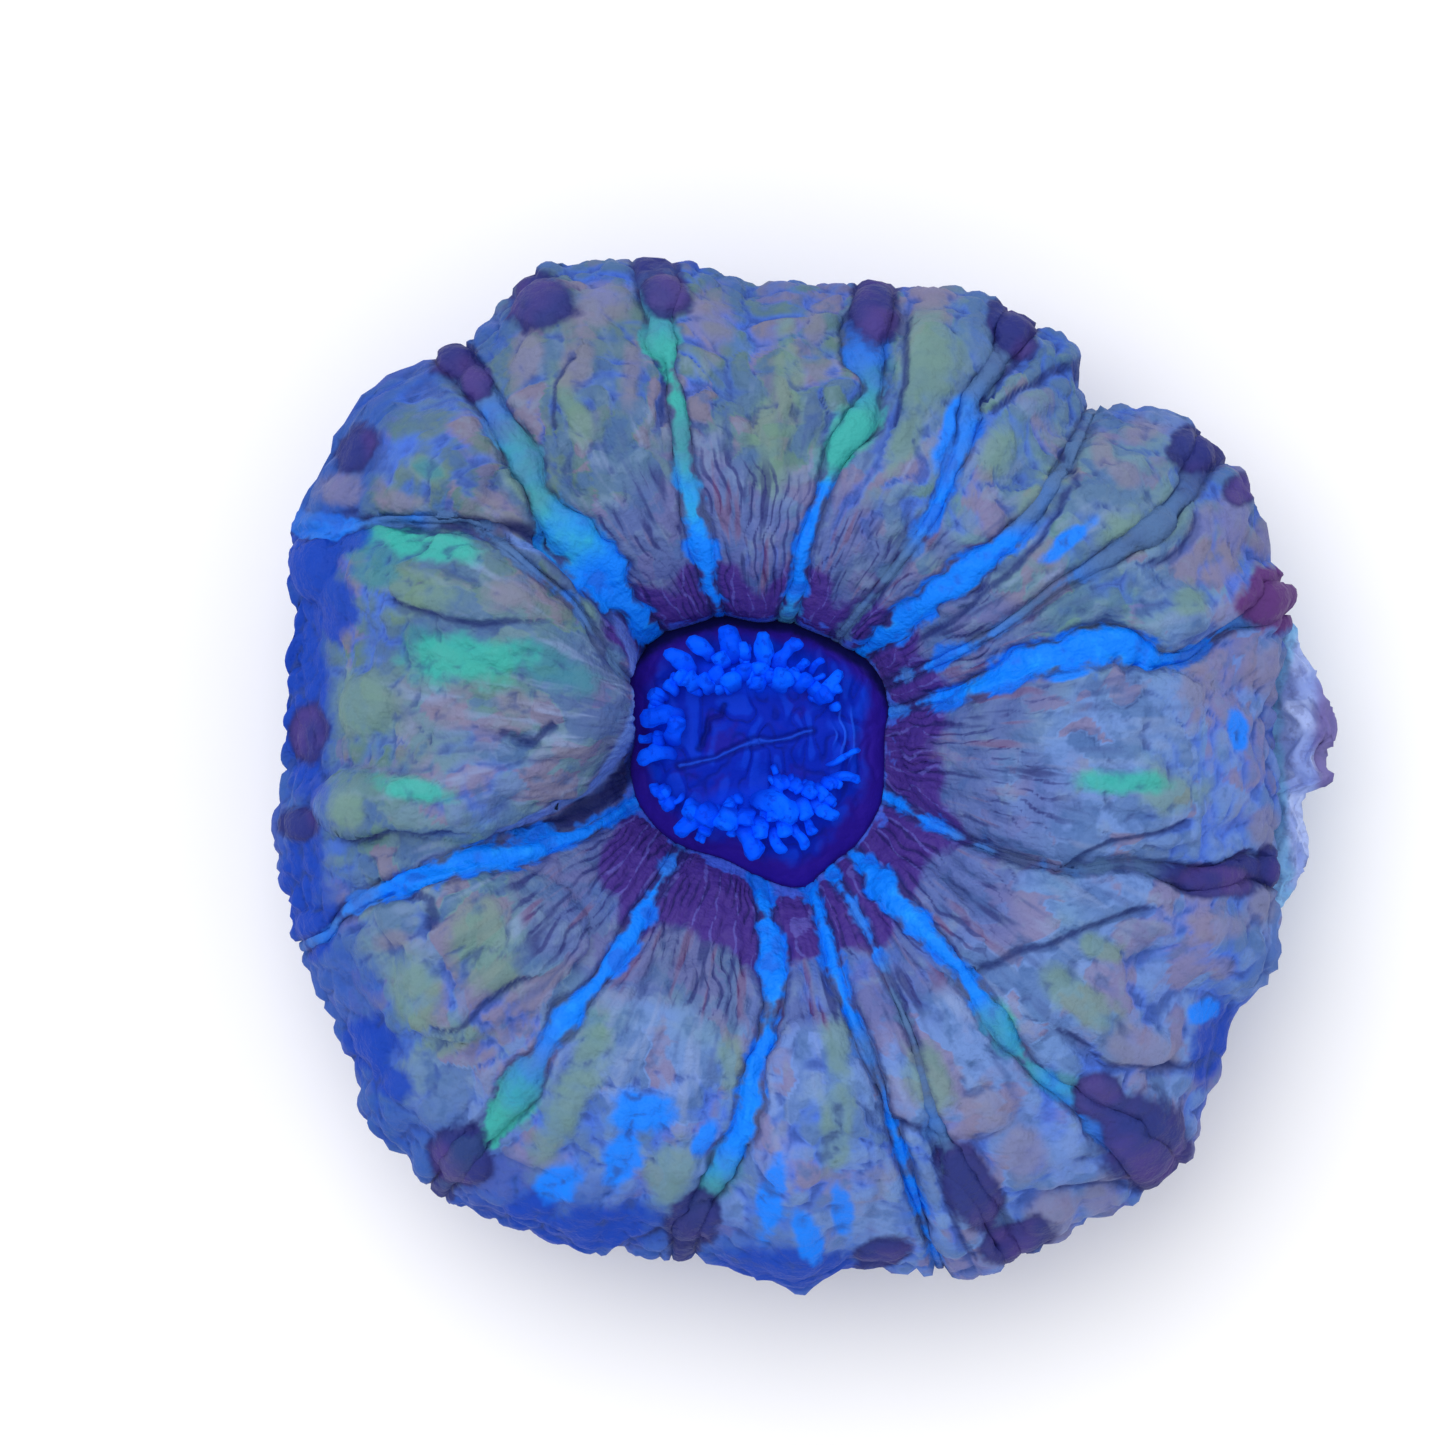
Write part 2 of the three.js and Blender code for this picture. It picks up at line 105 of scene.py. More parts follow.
# The narrow smooth bands between the rough lobes, from the disc out to the rim.
# path: (radius, direction in degrees, half width). crease: how deep its sides are at the disc and at
# the rim, from 0 to 1. flow: its colours at even steps from the disc to the rim.
BANDS = [
    dict(path=[(14, 10, 0.4), (17, 11.5, 0.5), (21, 12.5, 0.8), (30, 14.8, 1.8), (36, 14.9, 1.9),
               (41, 11, 1.0), (45, 10.6, 0.6), (49.6, 13, 0.5), (54, 14.5, 1.6)],
         crease=(0.7, 1.0), flow="film azure azure azure film slate"),
    dict(path=[(15, 21.5, 0.4), (24, 23, 0.5), (34, 26.5, 0.6), (44, 27.5, 1.3), (48.5, 29, 1.0),
               (53, 32, 1.8)],
         crease=(0.6, 0.4), flow="film film slate slate slate plum"),
    dict(path=[(14, 37.5, 0.6), (17, 38, 1.3), (24, 38, 1.6), (31, 38, 1.2), (37, 39.5, 0.6), (47, 44, 0.5)],
         crease=(0.8, 0.4), flow="azure azure azure slate slate slate"),
    dict(path=[(15, 50.5, 0.4), (24, 50.5, 0.5), (34, 54, 0.8), (40, 57, 1.2), (44, 57.3, 0.8),
               (48, 57.5, 1.6)],
         crease=(0.5, 0.5), flow="slate slate film film slate plum"),
    dict(path=[(12.5, 76, 0.9), (15, 74.5, 0.7), (20, 76, 0.6), (25, 75, 0.7), (29.5, 74, 1.3),
               (33, 71.5, 1.9), (36.5, 71.5, 0.9), (39, 73.5, 2.0), (43, 75, 2.1), (46, 75, 1.9)],
         crease=(0.8, 0.4), flow="teal azure azure mint teal cobalt plum"),
    dict(path=[(12, 107.5, 0.6), (17, 107, 0.8), (21, 106, 1.3), (24, 105.5, 1.1), (30, 104.5, 0.9),
               (34, 103.6, 0.9), (37.5, 103.4, 0.5), (41, 104, 1.6), (43, 103.2, 1.2), (46, 102.5, 2.0)],
         crease=(0.7, 0.4), flow="azure azure cyan teal mint teal plum"),
    dict(path=[(13, 136, 0.7), (15, 135, 1.3), (17.5, 135, 1.1), (20, 134, 2.1), (24, 133.5, 2.5),
               (29, 132.8, 2.1), (33, 132.2, 1.2), (36, 130.5, 1.6), (40, 129.6, 1.5), (44, 129, 1.3),
               (48, 128.5, 1.6)],
         crease=(1.0, 0.6), flow="azure azure cyan teal teal slate plum"),
    dict(path=[(14.5, 158, 0.3), (24, 144, 0.4), (34, 143, 0.4), (42, 149, 0.6), (48, 155, 1.0)],
         crease=(1.0, 0.1), flow="slate slate slate film cobalt"),
    dict(path=[(14.6, 209, 0.5), (18, 210, 0.5), (22, 208, 0.9), (27, 205.5, 1.4), (34, 203, 1.2),
               (40, 202.5, 0.9), (45, 203, 0.8), (48, 205, 0.6)],
         crease=(1.0, 0.5), flow="film azure azure azure film cobalt"),
    dict(path=[(14, 236, 0.6), (19, 236.5, 0.7), (24, 237.5, 1.1), (29, 237, 0.6), (34, 236, 1.5),
               (38, 236, 0.8), (42, 236, 1.9), (46, 236, 1.5), (51, 235, 1.0)],
         crease=(0.7, 0.4), flow="film azure azure film teal mint plum"),
    dict(path=[(14, 271, 0.9), (20, 274, 1.0), (25, 274, 1.3), (29, 272, 0.8), (34, 269.5, 1.2),
               (40, 267.5, 1.1), (44, 265, 1.4), (50, 262, 1.2)],
         crease=(0.8, 0.5), flow="azure azure azure azure teal plum"),
    dict(path=[(16, 289.5, 0.5), (20, 289, 0.6), (26, 288, 0.7), (33, 289, 0.8), (38, 289.5, 0.4),
               (43, 289, 0.6), (53, 289, 0.4)],
         crease=(0.8, 0.9), flow="azure azure film film azure cobalt"),
    dict(path=[(15, 298.5, 0.5), (20, 299.5, 0.4), (28, 298, 0.3), (34, 297, 0.4), (44, 294.5, 0.8),
               (54, 296, 1.0)],
         crease=(0.5, 0.4), flow="azure film slate slate slate plum"),
    dict(path=[(15, 309.5, 0.6), (20, 309.5, 1.4), (25, 310.5, 1.3), (30, 311, 0.7), (34, 310.3, 1.0),
               (38, 309.8, 1.2), (43, 309.5, 0.6), (48, 311, 1.0), (54, 312.5, 2.2)],
         crease=(0.7, 0.4), flow="azure azure azure teal teal film plum"),
    dict(path=[(14.5, 335, 0.6), (18, 333, 0.4), (24, 333.5, 0.3), (34, 337, 0.3), (40, 341, 0.4),
               (46, 341.5, 1.2), (52, 345, 1.2)],
         crease=(0.6, 0.8), flow="azure film slate slate plum plum"),
]
# How much azure, mint and plum each name in a flow stands for.
FLOW_COLOURS = {
    "azure": (1, 0, 0), "cyan": (0.8, 0.45, 0), "mint": (0, 1, 0), "teal": (0.3, 0.5, 0.2),
    "film": (0.55, 0, 0.1), "cobalt": (0.5, 0, 0.5), "slate": (0.15, 0, 0.25), "plum": (0, 0, 1),
}

# Broad swellings: x, y, half length, half width, turn in degrees, height. The left lobe is the one
# great swelling, whose outline is a crease of its own.
LEFT_LOBE = (-32.7, 5.2, 20.8, 15.6, -4, 4.5)
SWELLINGS = [
    LEFT_LOBE,
    (33.3, -2.5, 18.5, 9.8, 0, 2.6),
    (-28.7, -21.5, 12, 8.5, 15, 2.4),
    (5.8, -40.5, 13, 6.5, 88, 2.0),
    (-33.2, 29.5, 8.5, 6, 130, 1.5),
    (17, -18.5, 7, 4, -50, 1.2),
]

# Cells of tissue in a colour of their own, as x, y, half length, half width, turn, height of the dome.
PLUM_CELLS = [
    (-21.7, 43.4, 3.7, 3.2, 0, 1.5), (-9.1, 44.2, 2.8, 2.6, 90, 1.6), (-30.5, 37.6, 2.4, 2.0, 20, 1.3),
    (-28.0, 35.4, 1.9, 2.1, 20, 1.0), (-40.2, 28.6, 3.0, 2.0, 50, 1.0), (11.9, 42.6, 4.2, 2.6, 88, 1.4),
    (25.6, 40.4, 3.6, 2.4, 115, 1.2), (43.8, 28.6, 2.8, 2.4, 30, 1.4), (48.6, 24.6, 2.0, 1.8, 30, 0.6),
    (46.0, -14.6, 4.6, 1.9, -3, 1.0), (51.6, -13.4, 1.6, 2.3, 10, 1.1),
    (38.8, -40.6, 6.0, 4.8, -45, 1.6), (34.2, -36.2, 3.2, 2.6, -60, 0.8), (21.2, -45.0, 5.4, 2.8, -65, 1.2),
    (26.0, -50.6, 4.4, 2.2, 22, 1.0), (-29.6, -42.3, 3.4, 3.4, 40, 1.5), (-6.4, -48.4, 3.4, 2.8, 62, 1.3),
    (-45.8, -8.9, 1.9, 2.4, 90, 1.0), (-44.8, 0.4, 2.2, 3.2, 0, 0.5), (12.6, -51.8, 3.2, 1.8, 20, 0.8),
]
MAROON_CELLS = [
    (51.6, 13.6, 3.9, 3.2, 20, 1.2), (56.0, -1.4, 2.0, 2.2, 0, 0),
]
COBALT_CELLS = [
    (-44.6, 16.8, 3.4, 3.6, 0, 1.8), (-45.6, 5.0, 3.0, 10.5, 4, 0), (-45.6, -14.0, 2.6, 6.0, -12, 0),
    (-38.6, -31.0, 3.2, 2.6, -20, 0.9), (-16.0, -49.5, 8.0, 2.4, 10, 0), (4.0, -53.4, 9.0, 2.0, -4, 0),
    (46.0, -31.0, 2.2, 4.6, -30, 0), (-42.4, 19.4, 3.6, 1.6, 10, 0), (-42.6, 12.8, 2.6, 3.4, 0, 0.7),
    (11.6, 40.0, 3.4, 1.7, 90, 0), (-44.4, -19.6, 2.8, 2.4, 60, 0.9), (-22.6, -47.6, 2.6, 2.0, 20, 0.6),
    (-36.6, -34.4, 2.4, 1.6, -30, 0.4), (-13.6, -48.6, 2.2, 1.4, 60, 0),
]
MINT_CELLS = [
    (-29.6, 7.6, 6.4, 2.6, -4, 0.3), (-33.6, 19.2, 5.6, 1.7, -12, 0), (-34.0, -5.4, 4.0, 1.2, -12, 0.6),
    (36.0, -4.6, 5.0, 1.2, -2, 0.5), (9.4, 30.2, 3.6, 2.0, 55, 0.7), (24.4, -29.0, 2.8, 1.2, -75, 0.9),
    (-23.8, -37.0, 2.6, 1.6, 56, 0),
]
TEAL_CELLS = [
    (-37.5, 19.0, 3.4, 2.8, 0, 0), (-38.2, 16.2, 2.6, 1.6, 0, 0), (29.9, -34.4, 3.2, 1.2, -8, 0.6),
    (11.6, 38.0, 3.2, 2.0, 90, 0.5), (-3.4, -43.4, 3.0, 1.8, 70, 0.5), (-33.6, 9.8, 1.8, 1.6, 0, 0.4),
    (-20.0, 6.4, 5.0, 2.0, -22, 0), (-24.6, 29.5, 2.6, 1.6, 130, 0), (-39.8, 18.2, 1.6, 1.2, 0, 0),
    (-32.6, 26.3, 2.0, 1.0, -30, 0),
]
OLIVE_CELLS = [
    (28.6, 24.0, 4.6, 1.9, 47, 1.0), (38.4, 20.8, 4.6, 2.4, 20, 1.2),
    (-33.2, 12.9, 4.4, 1.5, 14, 0.5), (-39.2, 3.0, 3.8, 3.4, 0, 1.5), (3.0, 35.4, 6.0, 1.5, 90, 0.4),
    (17.0, 36.8, 6.4, 3.3, 80, 1.4), (23.8, 28.2, 3.2, 1.7, 62, 0.6), (-40.6, -7.7, 1.9, 1.7, 0, 0.6),
    (-34.0, -25.6, 2.6, 3.8, 0, 0.5), (-30.6, -30.4, 3.4, 1.3, 18, 0.3), (-19.2, -37.6, 6.6, 2.0, 63, 0.8),
    (-8.4, -44.0, 4.6, 2.4, 70, 0.8), (7.8, -38.6, 5.0, 1.7, 84, 0.4), (32.4, -26.6, 5.6, 2.0, -38, 1.1),
    (34.2, -21.2, 2.5, 1.3, -20, 0.6), (17.0, -34.2, 3.6, 2.3, -70, 0.9), (41.0, -5.6, 3.4, 2.4, 0, 0.3),
    (-18.6, 33.0, 4.4, 1.5, -67, 0.3), (-32.6, 26.3, 2.8, 1.3, -30, 0.3), (-25.4, -23.6, 2.8, 1.8, 30, 0.3),
    (-27.6, -20.6, 3.2, 5.0, 0, 0.3), (43.0, 13.4, 1.8, 2.0, 0, 0.5), (-22.4, 24.6, 4.0, 1.6, 130, 0),
    (-34.6, 15.2, 4.6, 1.4, -8, 0), (1.0, 29.0, 1.8, 5.0, 0, 0), (14.8, 29.6, 1.4, 3.6, -25, 0),
    (-2.4, -33.0, 1.4, 3.6, 0, 0), (8.0, -31.0, 1.6, 3.6, 0, 0), (-16.4, -31.0, 1.6, 3.4, -30, 0),
]
TAN_CELLS = [
    (-41.8, 24.6, 2.5, 1.9, 10, 0.9), (-35.4, 23.2, 3.0, 1.2, -5, 0.4), (-27.8, 21.0, 1.0, 0.6, 0, 0.4),
    (-15.6, 43.2, 3.2, 2.4, 0, 0.7), (-4.4, 41.4, 2.0, 3.6, 0, 0.4), (-23.2, 37.4, 1.9, 3.2, -15, 0.6),
    (-24.0, 14.2, 3.0, 1.8, 10, 0.5), (17.6, 44.2, 2.6, 1.6, 0, 0.6), (34.4, 28.4, 1.2, 2.2, -10, 0.6),
    (36.6, 26.0, 1.5, 1.4, 0, 0.5), (38.6, 30.4, 2.2, 1.3, 10, 0.6), (47.6, 21.4, 2.2, 3.6, -20, 0.9),
    (51.2, 20.0, 2.0, 2.8, -30, 0.9), (46.2, 16.4, 2.6, 1.3, 40, 0.6), (44.6, 20.6, 1.6, 2.4, -20, 0.5),
    (51.0, 6.6, 2.6, 3.0, 0, 0.9), (46.2, -19.0, 3.6, 1.6, 0, 0.8), (46.2, -23.2, 1.8, 1.2, -30, 0.5),
    (22.8, -37.6, 2.9, 2.4, 20, 1.0), (26.6, -41.6, 3.0, 2.6, -60, 0.8), (29.6, -48.0, 3.4, 3.2, 0, 1.2),
    (38.0, -31.0, 4.6, 2.3, -15, 1.2), (-30.4, 2.0, 2.4, 1.4, 0, 0), (34.6, -46.4, 2.8, 2.4, 40, 0.8),
    (-24.0, 3.0, 2.0, 1.4, 0, 0), (-36.0, -20.4, 2.2, 1.2, 20, 0), (50.6, -17.0, 1.8, 2.4, 0, 0.5),
    (43.6, 5.0, 1.6, 2.8, 0, 0), (51.0, -9.4, 1.8, 2.2, 0, 0.5), (-18.0, 37.0, 1.6, 3.6, -20, 0),
    (-12.4, 36.0, 1.2, 4.0, -6, 0), (5.6, 40.8, 1.2, 3.0, 0, 0), (-25.0, 21.8, 1.6, 3.0, 40, 0),
]
AZURE_CELLS = [
    (19.4, 30.0, 4.4, 1.3, 72, 0), (30.8, 19.2, 3.2, 0.9, 38, 0), (31.0, 6.0, 2.6, 0.6, 10, 0),
    (-11.6, -37.6, 3.4, 2.4, 10, 0), (-13.4, -42.0, 3.8, 1.6, 75, 0), (-19.6, -44.4, 2.6, 1.8, 40, 0),
    (1.4, -46.0, 4.6, 1.3, 82, 0.2), (8.4, -47.4, 3.4, 1.2, 100, 0), (-27.0, -12.4, 3.4, 0.7, 8, 0),
    (5.0, -49.6, 1.4, 3.0, 20, 0.3), (44.4, -27.4, 1.6, 1.2, 30, 0.2), (48.0, 0.6, 1.0, 2.2, 0, 0),
    (-5.4, -40.2, 1.8, 1.0, 60, 0),
]
BLANK_CELLS = [  # domes with no colour of their own
    (-41.2, -6.6, 5.4, 3.6, 0, 1.6), (50.2, -7.8, 2.6, 2.0, 80, 0.7), (3.4, -53.2, 3.4, 2.2, 0, 1.0),
    (-18, -49, 3.0, 2.2, 20, 0.8), (42.5, -33.6, 2.6, 2.2, 40, 0.9), (48.0, -27.6, 3.0, 2.2, 60, 1.0),
    (31.4, 37.6, 3.2, 2.2, 60, 0.8), (28.4, 33.6, 3.0, 1.6, 30, 0.6), (-24.6, -46.2, 2.6, 1.8, 20, 0.5),
    (22.0, 38.4, 3.8, 1.9, 110, 0.8), (-37.2, 33.2, 2.6, 2.0, 50, 0.6), (-41.0, -26.4, 2.6, 1.5, -60, 0.5),
    (-32.0, -38.6, 2.4, 2.0, 40, 0.7), (4.0, 44.6, 3.0, 1.8, 0, 0.6), (51.6, -22.0, 2.2, 2.0, 60, 0.7),
    (-42.6, -31.0, 2.2, 1.8, 60, 0.7), (18.6, -51.0, 2.8, 2.0, 10, 0.8), (-1.6, -52.6, 2.4, 1.8, 0, 0.7),
]
TISSUE_CELLS = {
    "olive": OLIVE_CELLS, "tan": TAN_CELLS, "teal": TEAL_CELLS, "mint": MINT_CELLS, "azure": AZURE_CELLS,
    "cobalt": COBALT_CELLS, "plum": PLUM_CELLS, "maroon": MAROON_CELLS,
}
# Sharp folds of the lobes that belong to no band, as lines of points.
FOLD_LINES = [
    [(21.8, -22.4), (27.7, -20.7), (33.0, -18.4), (39.0, -17.0)],
    [(30.2, -29.5), (34, -32), (40.3, -33.3), (43.4, -32.5)],
    [(14.3, -37.5), (16.8, -38.8), (18.5, -40.4), (18, -43.8), (20.1, -49.3), (21.8, -52)],
    [(30.2, -44.6), (35.3, -44.2), (37.5, -45.6)],
    [(22.3, 33.5), (26.3, 38.9)], [(23.5, 32.3), (28.8, 36), (31.7, 37.2), (34.4, 33.4)],
    [(31.3, 27.4), (31.7, 24.9), (28, 20), (22.3, 14.2), (15.7, 8.5)],
    [(-43.4, 20.9), (-39.7, 22), (-32.4, 21.6), (-27.2, 21.3)],
    [(-36.5, -15.2), (-32.8, -16.4), (-32.4, -19.3)], [(-32.4, -29), (-27.9, -27.8), (-22.2, -24.2)],
    [(-14.1, -51), (-10, -49), (-6.4, -46.9)], [(-41, -10.6), (-36.4, -10), (-30.6, -9.8)],
    [(15.2, 41.6), (14.8, 34.4), (13.4, 31.2)], [(39.6, 17.6), (42.4, 18.6), (43.6, 21.4)],
    [(31.5, -12.4), (35.5, -10.6), (42, -8.6)], [(-36.5, 13.6), (-30.5, 11.2), (-24, 11.6)],
    [(-25.5, 0.2), (-22.6, -1.0), (-20.5, 0.6)], [(-20.6, -6.6), (-17.4, -6.0)],
    [(-9.6, 36.6), (-9.2, 31.4)], [(34.6, 33.6), (35.6, 37.2)],
    [(-18.6, 37.6), (-20.6, 34.6), (-20.2, 30.6)],
]

# Finger-like tentacles of the disc: root x, y, then tip x, y and width.
FINGERS = [
    (-6.7, 6.1, -8.6, 8.2, 1.6), (-4.9, 7.8, -6.2, 9.5, 1.6), (-2.65, 7.9, -2.65, 10.2, 2.1),
    (0.3, 7.1, 1.0, 9.6, 1.7), (2.3, 6.8, 3.7, 9.2, 1.6), (5.8, 3.9, 8.3, 5.7, 1.5),
    (5.4, 6.4, 6.4, 7.4, 0.9), (-8.0, 1.6, -10.9, 2.1, 2.0), (-8.4, -0.4, -8.0, 1.2, 1.9),
    (-8.6, -2.0, -11.4, -2.2, 1.7),
    (-5.8, -7.9, -7.7, -9.3, 1.9), (-1.6, -9.6, -0.1, -11.5, 2.1), (0.4, -6.2, 3.2, -8.1, 2.4),
    (1.6, -9.7, 2.5, -11.4, 1.3), (3.5, -9.1, 4.6, -11.1, 1.2), (4.8, -8.2, 5.7, -9.5, 1.1),
    (5.9, -6.7, 7.4, -8.2, 1.5), (7.6, -4.0, 9.9, -4.6, 1.1), (7.0, -2.6, 10.2, -1.9, 0.7),
]
# Rounded tentacles seen end on, and the folds that they stand in: x, y, width.
BEADS = [
    (-7.4, 5.6, 1.6), (-6.2, 5.2, 1.9), (-4.8, 4.8, 1.7), (-3.6, 5.6, 1.6), (-2.4, 5.0, 1.9),
    (-3.4, 7.2, 1.7), (-1.3, 7.8, 1.6), (-1.2, 6.0, 1.7), (0.0, 5.0, 1.5), (0.2, 6.2, 1.6),
    (1.3, 5.6, 1.4), (2.2, 5.0, 2.1), (3.6, 5.6, 1.4), (4.2, 4.8, 1.6), (5.6, 4.4, 1.5),
    (6.3, 3.8, 1.8), (7.2, 4.3, 1.4), (-6.2, -7.4, 2.0), (-4.8, -7.6, 2.4), (-5.0, -9.2, 1.4),
    (-2.9, -8.0, 2.5), (-1.0, -8.0, 2.0), (-2.6, -6.6, 1.2), (0.2, -8.7, 1.8), (1.6, -7.4, 1.8),
    (1.8, -5.4, 1.3), (2.6, -8.8, 1.6), (4.4, -6.9, 1.7), (5.0, -5.3, 1.7), (3.7, -4.8, 1.4),
    (5.9, -5.4, 1.4), (6.6, -6.0, 1.3), (2.6, -4.3, 1.0), (-9.6, -0.6, 1.2), (6.8, -4.6, 1.1),
    (-9.4, -5.2, 1.1), (-8.4, -6.6, 1.2), (-9.6, 3.6, 1.1), (-8.2, 4.4, 1.2),
]
# The patches of deeper blue that they stand in: x, y, half length, half width, turn in degrees.
TENTACLE_BEDS = [(-0.2, 6.2, 8.6, 3.0, 0), (-0.2, -7.8, 8.0, 3.2, 0), (-9.6, 0.0, 2.4, 3.6, 0)]
# The mouth's slit and a fold beside it, as lines of points.
MOUTH_LINE = [(-8.0, -3.3), (-4.1, -2.3), (-0.9, -1.0), (2.1, -0.3), (5.4, 0.4)]
DISC_FOLD = [(-3.2, 3.0), (-3.6, 1.9), (-5.4, 0.2), (-6.0, -1.2)]


def through(keys, values):
    """The curve through (keys, values): on each span a cubic whose end slopes are the harmonic mean
    of the neighbouring straight slopes, so it never overshoots a key."""
    keys, values = np.asarray(keys, float), np.asarray(values, float)
    secants = np.diff(values) / np.diff(keys)
    before, after = np.append(secants[:1], secants), np.append(secants, secants[-1:])
    product = before * after
    slopes = np.where(product > 0, 2 * product / np.where(product > 0, before + after, 1), 0)

    def curve(x):
        x = np.clip(x, keys[0], keys[-1])
        i = np.clip(np.searchsorted(keys, x) - 1, 0, len(keys) - 2)
        width, rise = keys[i + 1] - keys[i], values[i + 1] - values[i]
        t, entry, leave = (x - keys[i]) / width, slopes[i] * width, slopes[i + 1] * width
        return values[i] + t * (entry + t * (3 * rise - 2 * entry - leave + t * (entry + leave - 2 * rise)))

    return curve


def around(values, angle):
    """Values at even steps all the way round, read at any angle by cubics through four neighbours."""
    values = np.asarray(values, float)
    place = np.mod(angle / TURN, 1) * len(values)
    i = np.floor(place).astype(int)
    t = place - i
    a, b, c, d = (values[(i + k) % len(values)] for k in (-1, 0, 1, 2))
    return b + 0.5 * t * (c - a + t * (2 * a - 5 * b + 4 * c - d + t * (3 * (b - c) + d - a)))


def smooth(low, high, x):
    """0 below low, 1 above high, and t * t * (3 - 2 t) between."""
    t = np.clip((x - low) / (high - low), 0, 1)
    return t * t * (3 - 2 * t)


def bell(x, width):
    """exp(-(x / width)^2): 1 at 0, and close to 0 from twice the width on."""
    return np.exp(-((x / width) ** 2))


def polar(radius, angle, height):
    """The points at a radius, in a direction and at a height."""
    return np.stack(np.broadcast_arrays(radius * np.cos(angle), radius * np.sin(angle), height), axis=-1)


def signed_degrees(angle):
    """An angle in degrees, from -180 to 180."""
    return (np.degrees(angle) + 180) % 360 - 180


def bareness(angle):
    """1 where the skeleton's rim is bare, 0 where flesh hangs over it."""
    degrees = signed_degrees(angle)
    low, high = BARE_STRETCH
    return smooth(low - BARE_FADE, low, degrees) * (1 - smooth(high, high + BARE_FADE, degrees))


def rim_radius(angle):
    return around(RIM_RADII, angle)


def foot_radius(angle):
    return around(FOOT_RADII, angle)


def ring_radius(share, angle):
    """Radius at a share of the way from the foot of the inner wall to the rim."""
    return foot_radius(angle) + share * (rim_radius(angle) - foot_radius(angle))


def cup_radius(angle):
    """Radius of the skeleton's rim: inside the flesh's, and a line of its own where it is bare."""
    bare = bareness(angle)
    own = through(*zip(*BARE_RIM))(signed_degrees(angle))
    return (rim_radius(angle) - CUP_INSET) * (1 - bare) + own * bare


def lobe_height(share, sizes):
    """Height of the ring from the foot of its inner wall over the crest to the rim."""
    foot, crest, rim = sizes["disc_height"] - 2.0, sizes["crest_height"], sizes["rim_height"]
    climb, fall = crest - foot, crest - rim
    keys = [0, 0.05, 0.12, 0.25, 0.42, 0.6, 0.78, 0.9, 0.97, 1]
    heights = [foot, foot + 0.33 * climb, foot + 0.58 * climb, crest - 0.13 * climb, crest,
               crest - 0.06 * fall, crest - 0.31 * fall, crest - 0.58 * fall, crest - 0.82 * fall, rim]
    return through(keys, heights)(share)


def disc_height(share, sizes):
    low = sizes["disc_height"]
    return through([0, 0.3, 0.6, 0.85, 1], [low + 0.4, low, low + 0.3, low - 0.6, low - 2.0])(share)


crown_drop = through([0, 0.2, 0.5, 0.8, 1], [0.3, 0.8, 1.5, 1.9, 1.5])  # how far a lobe falls to its sides
crease_depth = through([0, 0.2, 0.5, 0.8, 1], [0.5, 0.6, 0.8, 1.0, 0.9])


def lattice_random(cell, salt):
    """A number from 0 to 1 for each whole-numbered lattice point: its coordinates times large odd
    numbers, mixed by shifts and multiplications in 32 bits."""
    x, y, z = (cell[..., k].astype(np.int64) for k in range(3))
    h = (x * 374761393 + y * 668265263 + z * 1274126177 + salt * 974634777) & 0xFFFFFFFF
    h = ((h ^ (h >> 15)) * 2246822519) & 0xFFFFFFFF
    h = ((h ^ (h >> 13)) * 3266489917) & 0xFFFFFFFF
    return (h ^ (h >> 16)) / 0xFFFFFFFF


def soft_noise(points, salt=0):
    """Smooth noise from -1 to 1: random numbers at lattice points, blended between the eight corners
    round a point with t * t * (3 - 2 t) along each axis."""
    base = np.floor(points)
    t = points - base
    t = t * t * (3 - 2 * t)
    total = np.zeros(points.shape[:-1])
    for corner in np.ndindex(2, 2, 2):
        offset = np.array(corner)
        weight = np.prod(np.where(offset == 1, t, 1 - t), axis=-1)
        total += weight * lattice_random(base + offset, salt)
    return 2 * total - 1


def noise_vector(points, salts):
    """Three soft noises side by side, which bend what is laid out along points."""
    return np.stack([soft_noise(points, salt) for salt in salts], axis=-1)


def cells(points, salt=0):
    """One scattered point in each lattice cube. Gives the distance to the nearest one, how much
    further the second nearest is, a random number that belongs to the nearest one, and how far past
    it a point is on the last axis."""
    base = np.floor(points)
    near = np.full(points.shape[:-1], 9.0)
    second, pick, past = near.copy(), 0 * near, 0 * near
    for step in np.ndindex(3, 3, 3):
        cube = base + (np.array(step) - 1)
        jitter = np.stack([lattice_random(cube, salt + k) for k in (1, 2, 3)], axis=-1)
        away = points - (cube + 0.15 + 0.7 * jitter)
        distance = np.linalg.norm(away, axis=-1)
        closer = distance < near
        second = np.where(closer, near, np.minimum(second, distance))
        pick = np.where(closer, lattice_random(cube, salt + 4), pick)
        past = np.where(closer, away[..., 2], past)
        near = np.where(closer, distance, near)
    return near, second - near, pick, past


def ellipse_distance(x, y, patch):
    """How far (x, y) is from a patch's centre, where 1 is the patch's edge."""
    turn = math.radians(patch[4])
    dx, dy = x - patch[0], y - patch[1]
    along = (dx * math.cos(turn) + dy * math.sin(turn)) / patch[2]
    across = (dy * math.cos(turn) - dx * math.sin(turn)) / patch[3]
    return np.hypot(along, across)


def swellings(x, y):
    """The highest of the broad swellings at (x, y): each falls to 0 as height * (1 - q^2) ^ 0.35."""
    best = np.zeros_like(x)
    for patch in SWELLINGS:
        q = np.minimum(ellipse_distance(x, y, patch), 1)
        best = np.maximum(best, patch[5] * (1 - q * q) ** 0.35)
    return best


def stain(x, y, patches):
    """How far inside the nearest of several patches of colour (x, y) is: 1 at a centre, 0 at an edge."""
    return np.max([1 - ellipse_distance(x, y, patch) for patch in patches], axis=0)


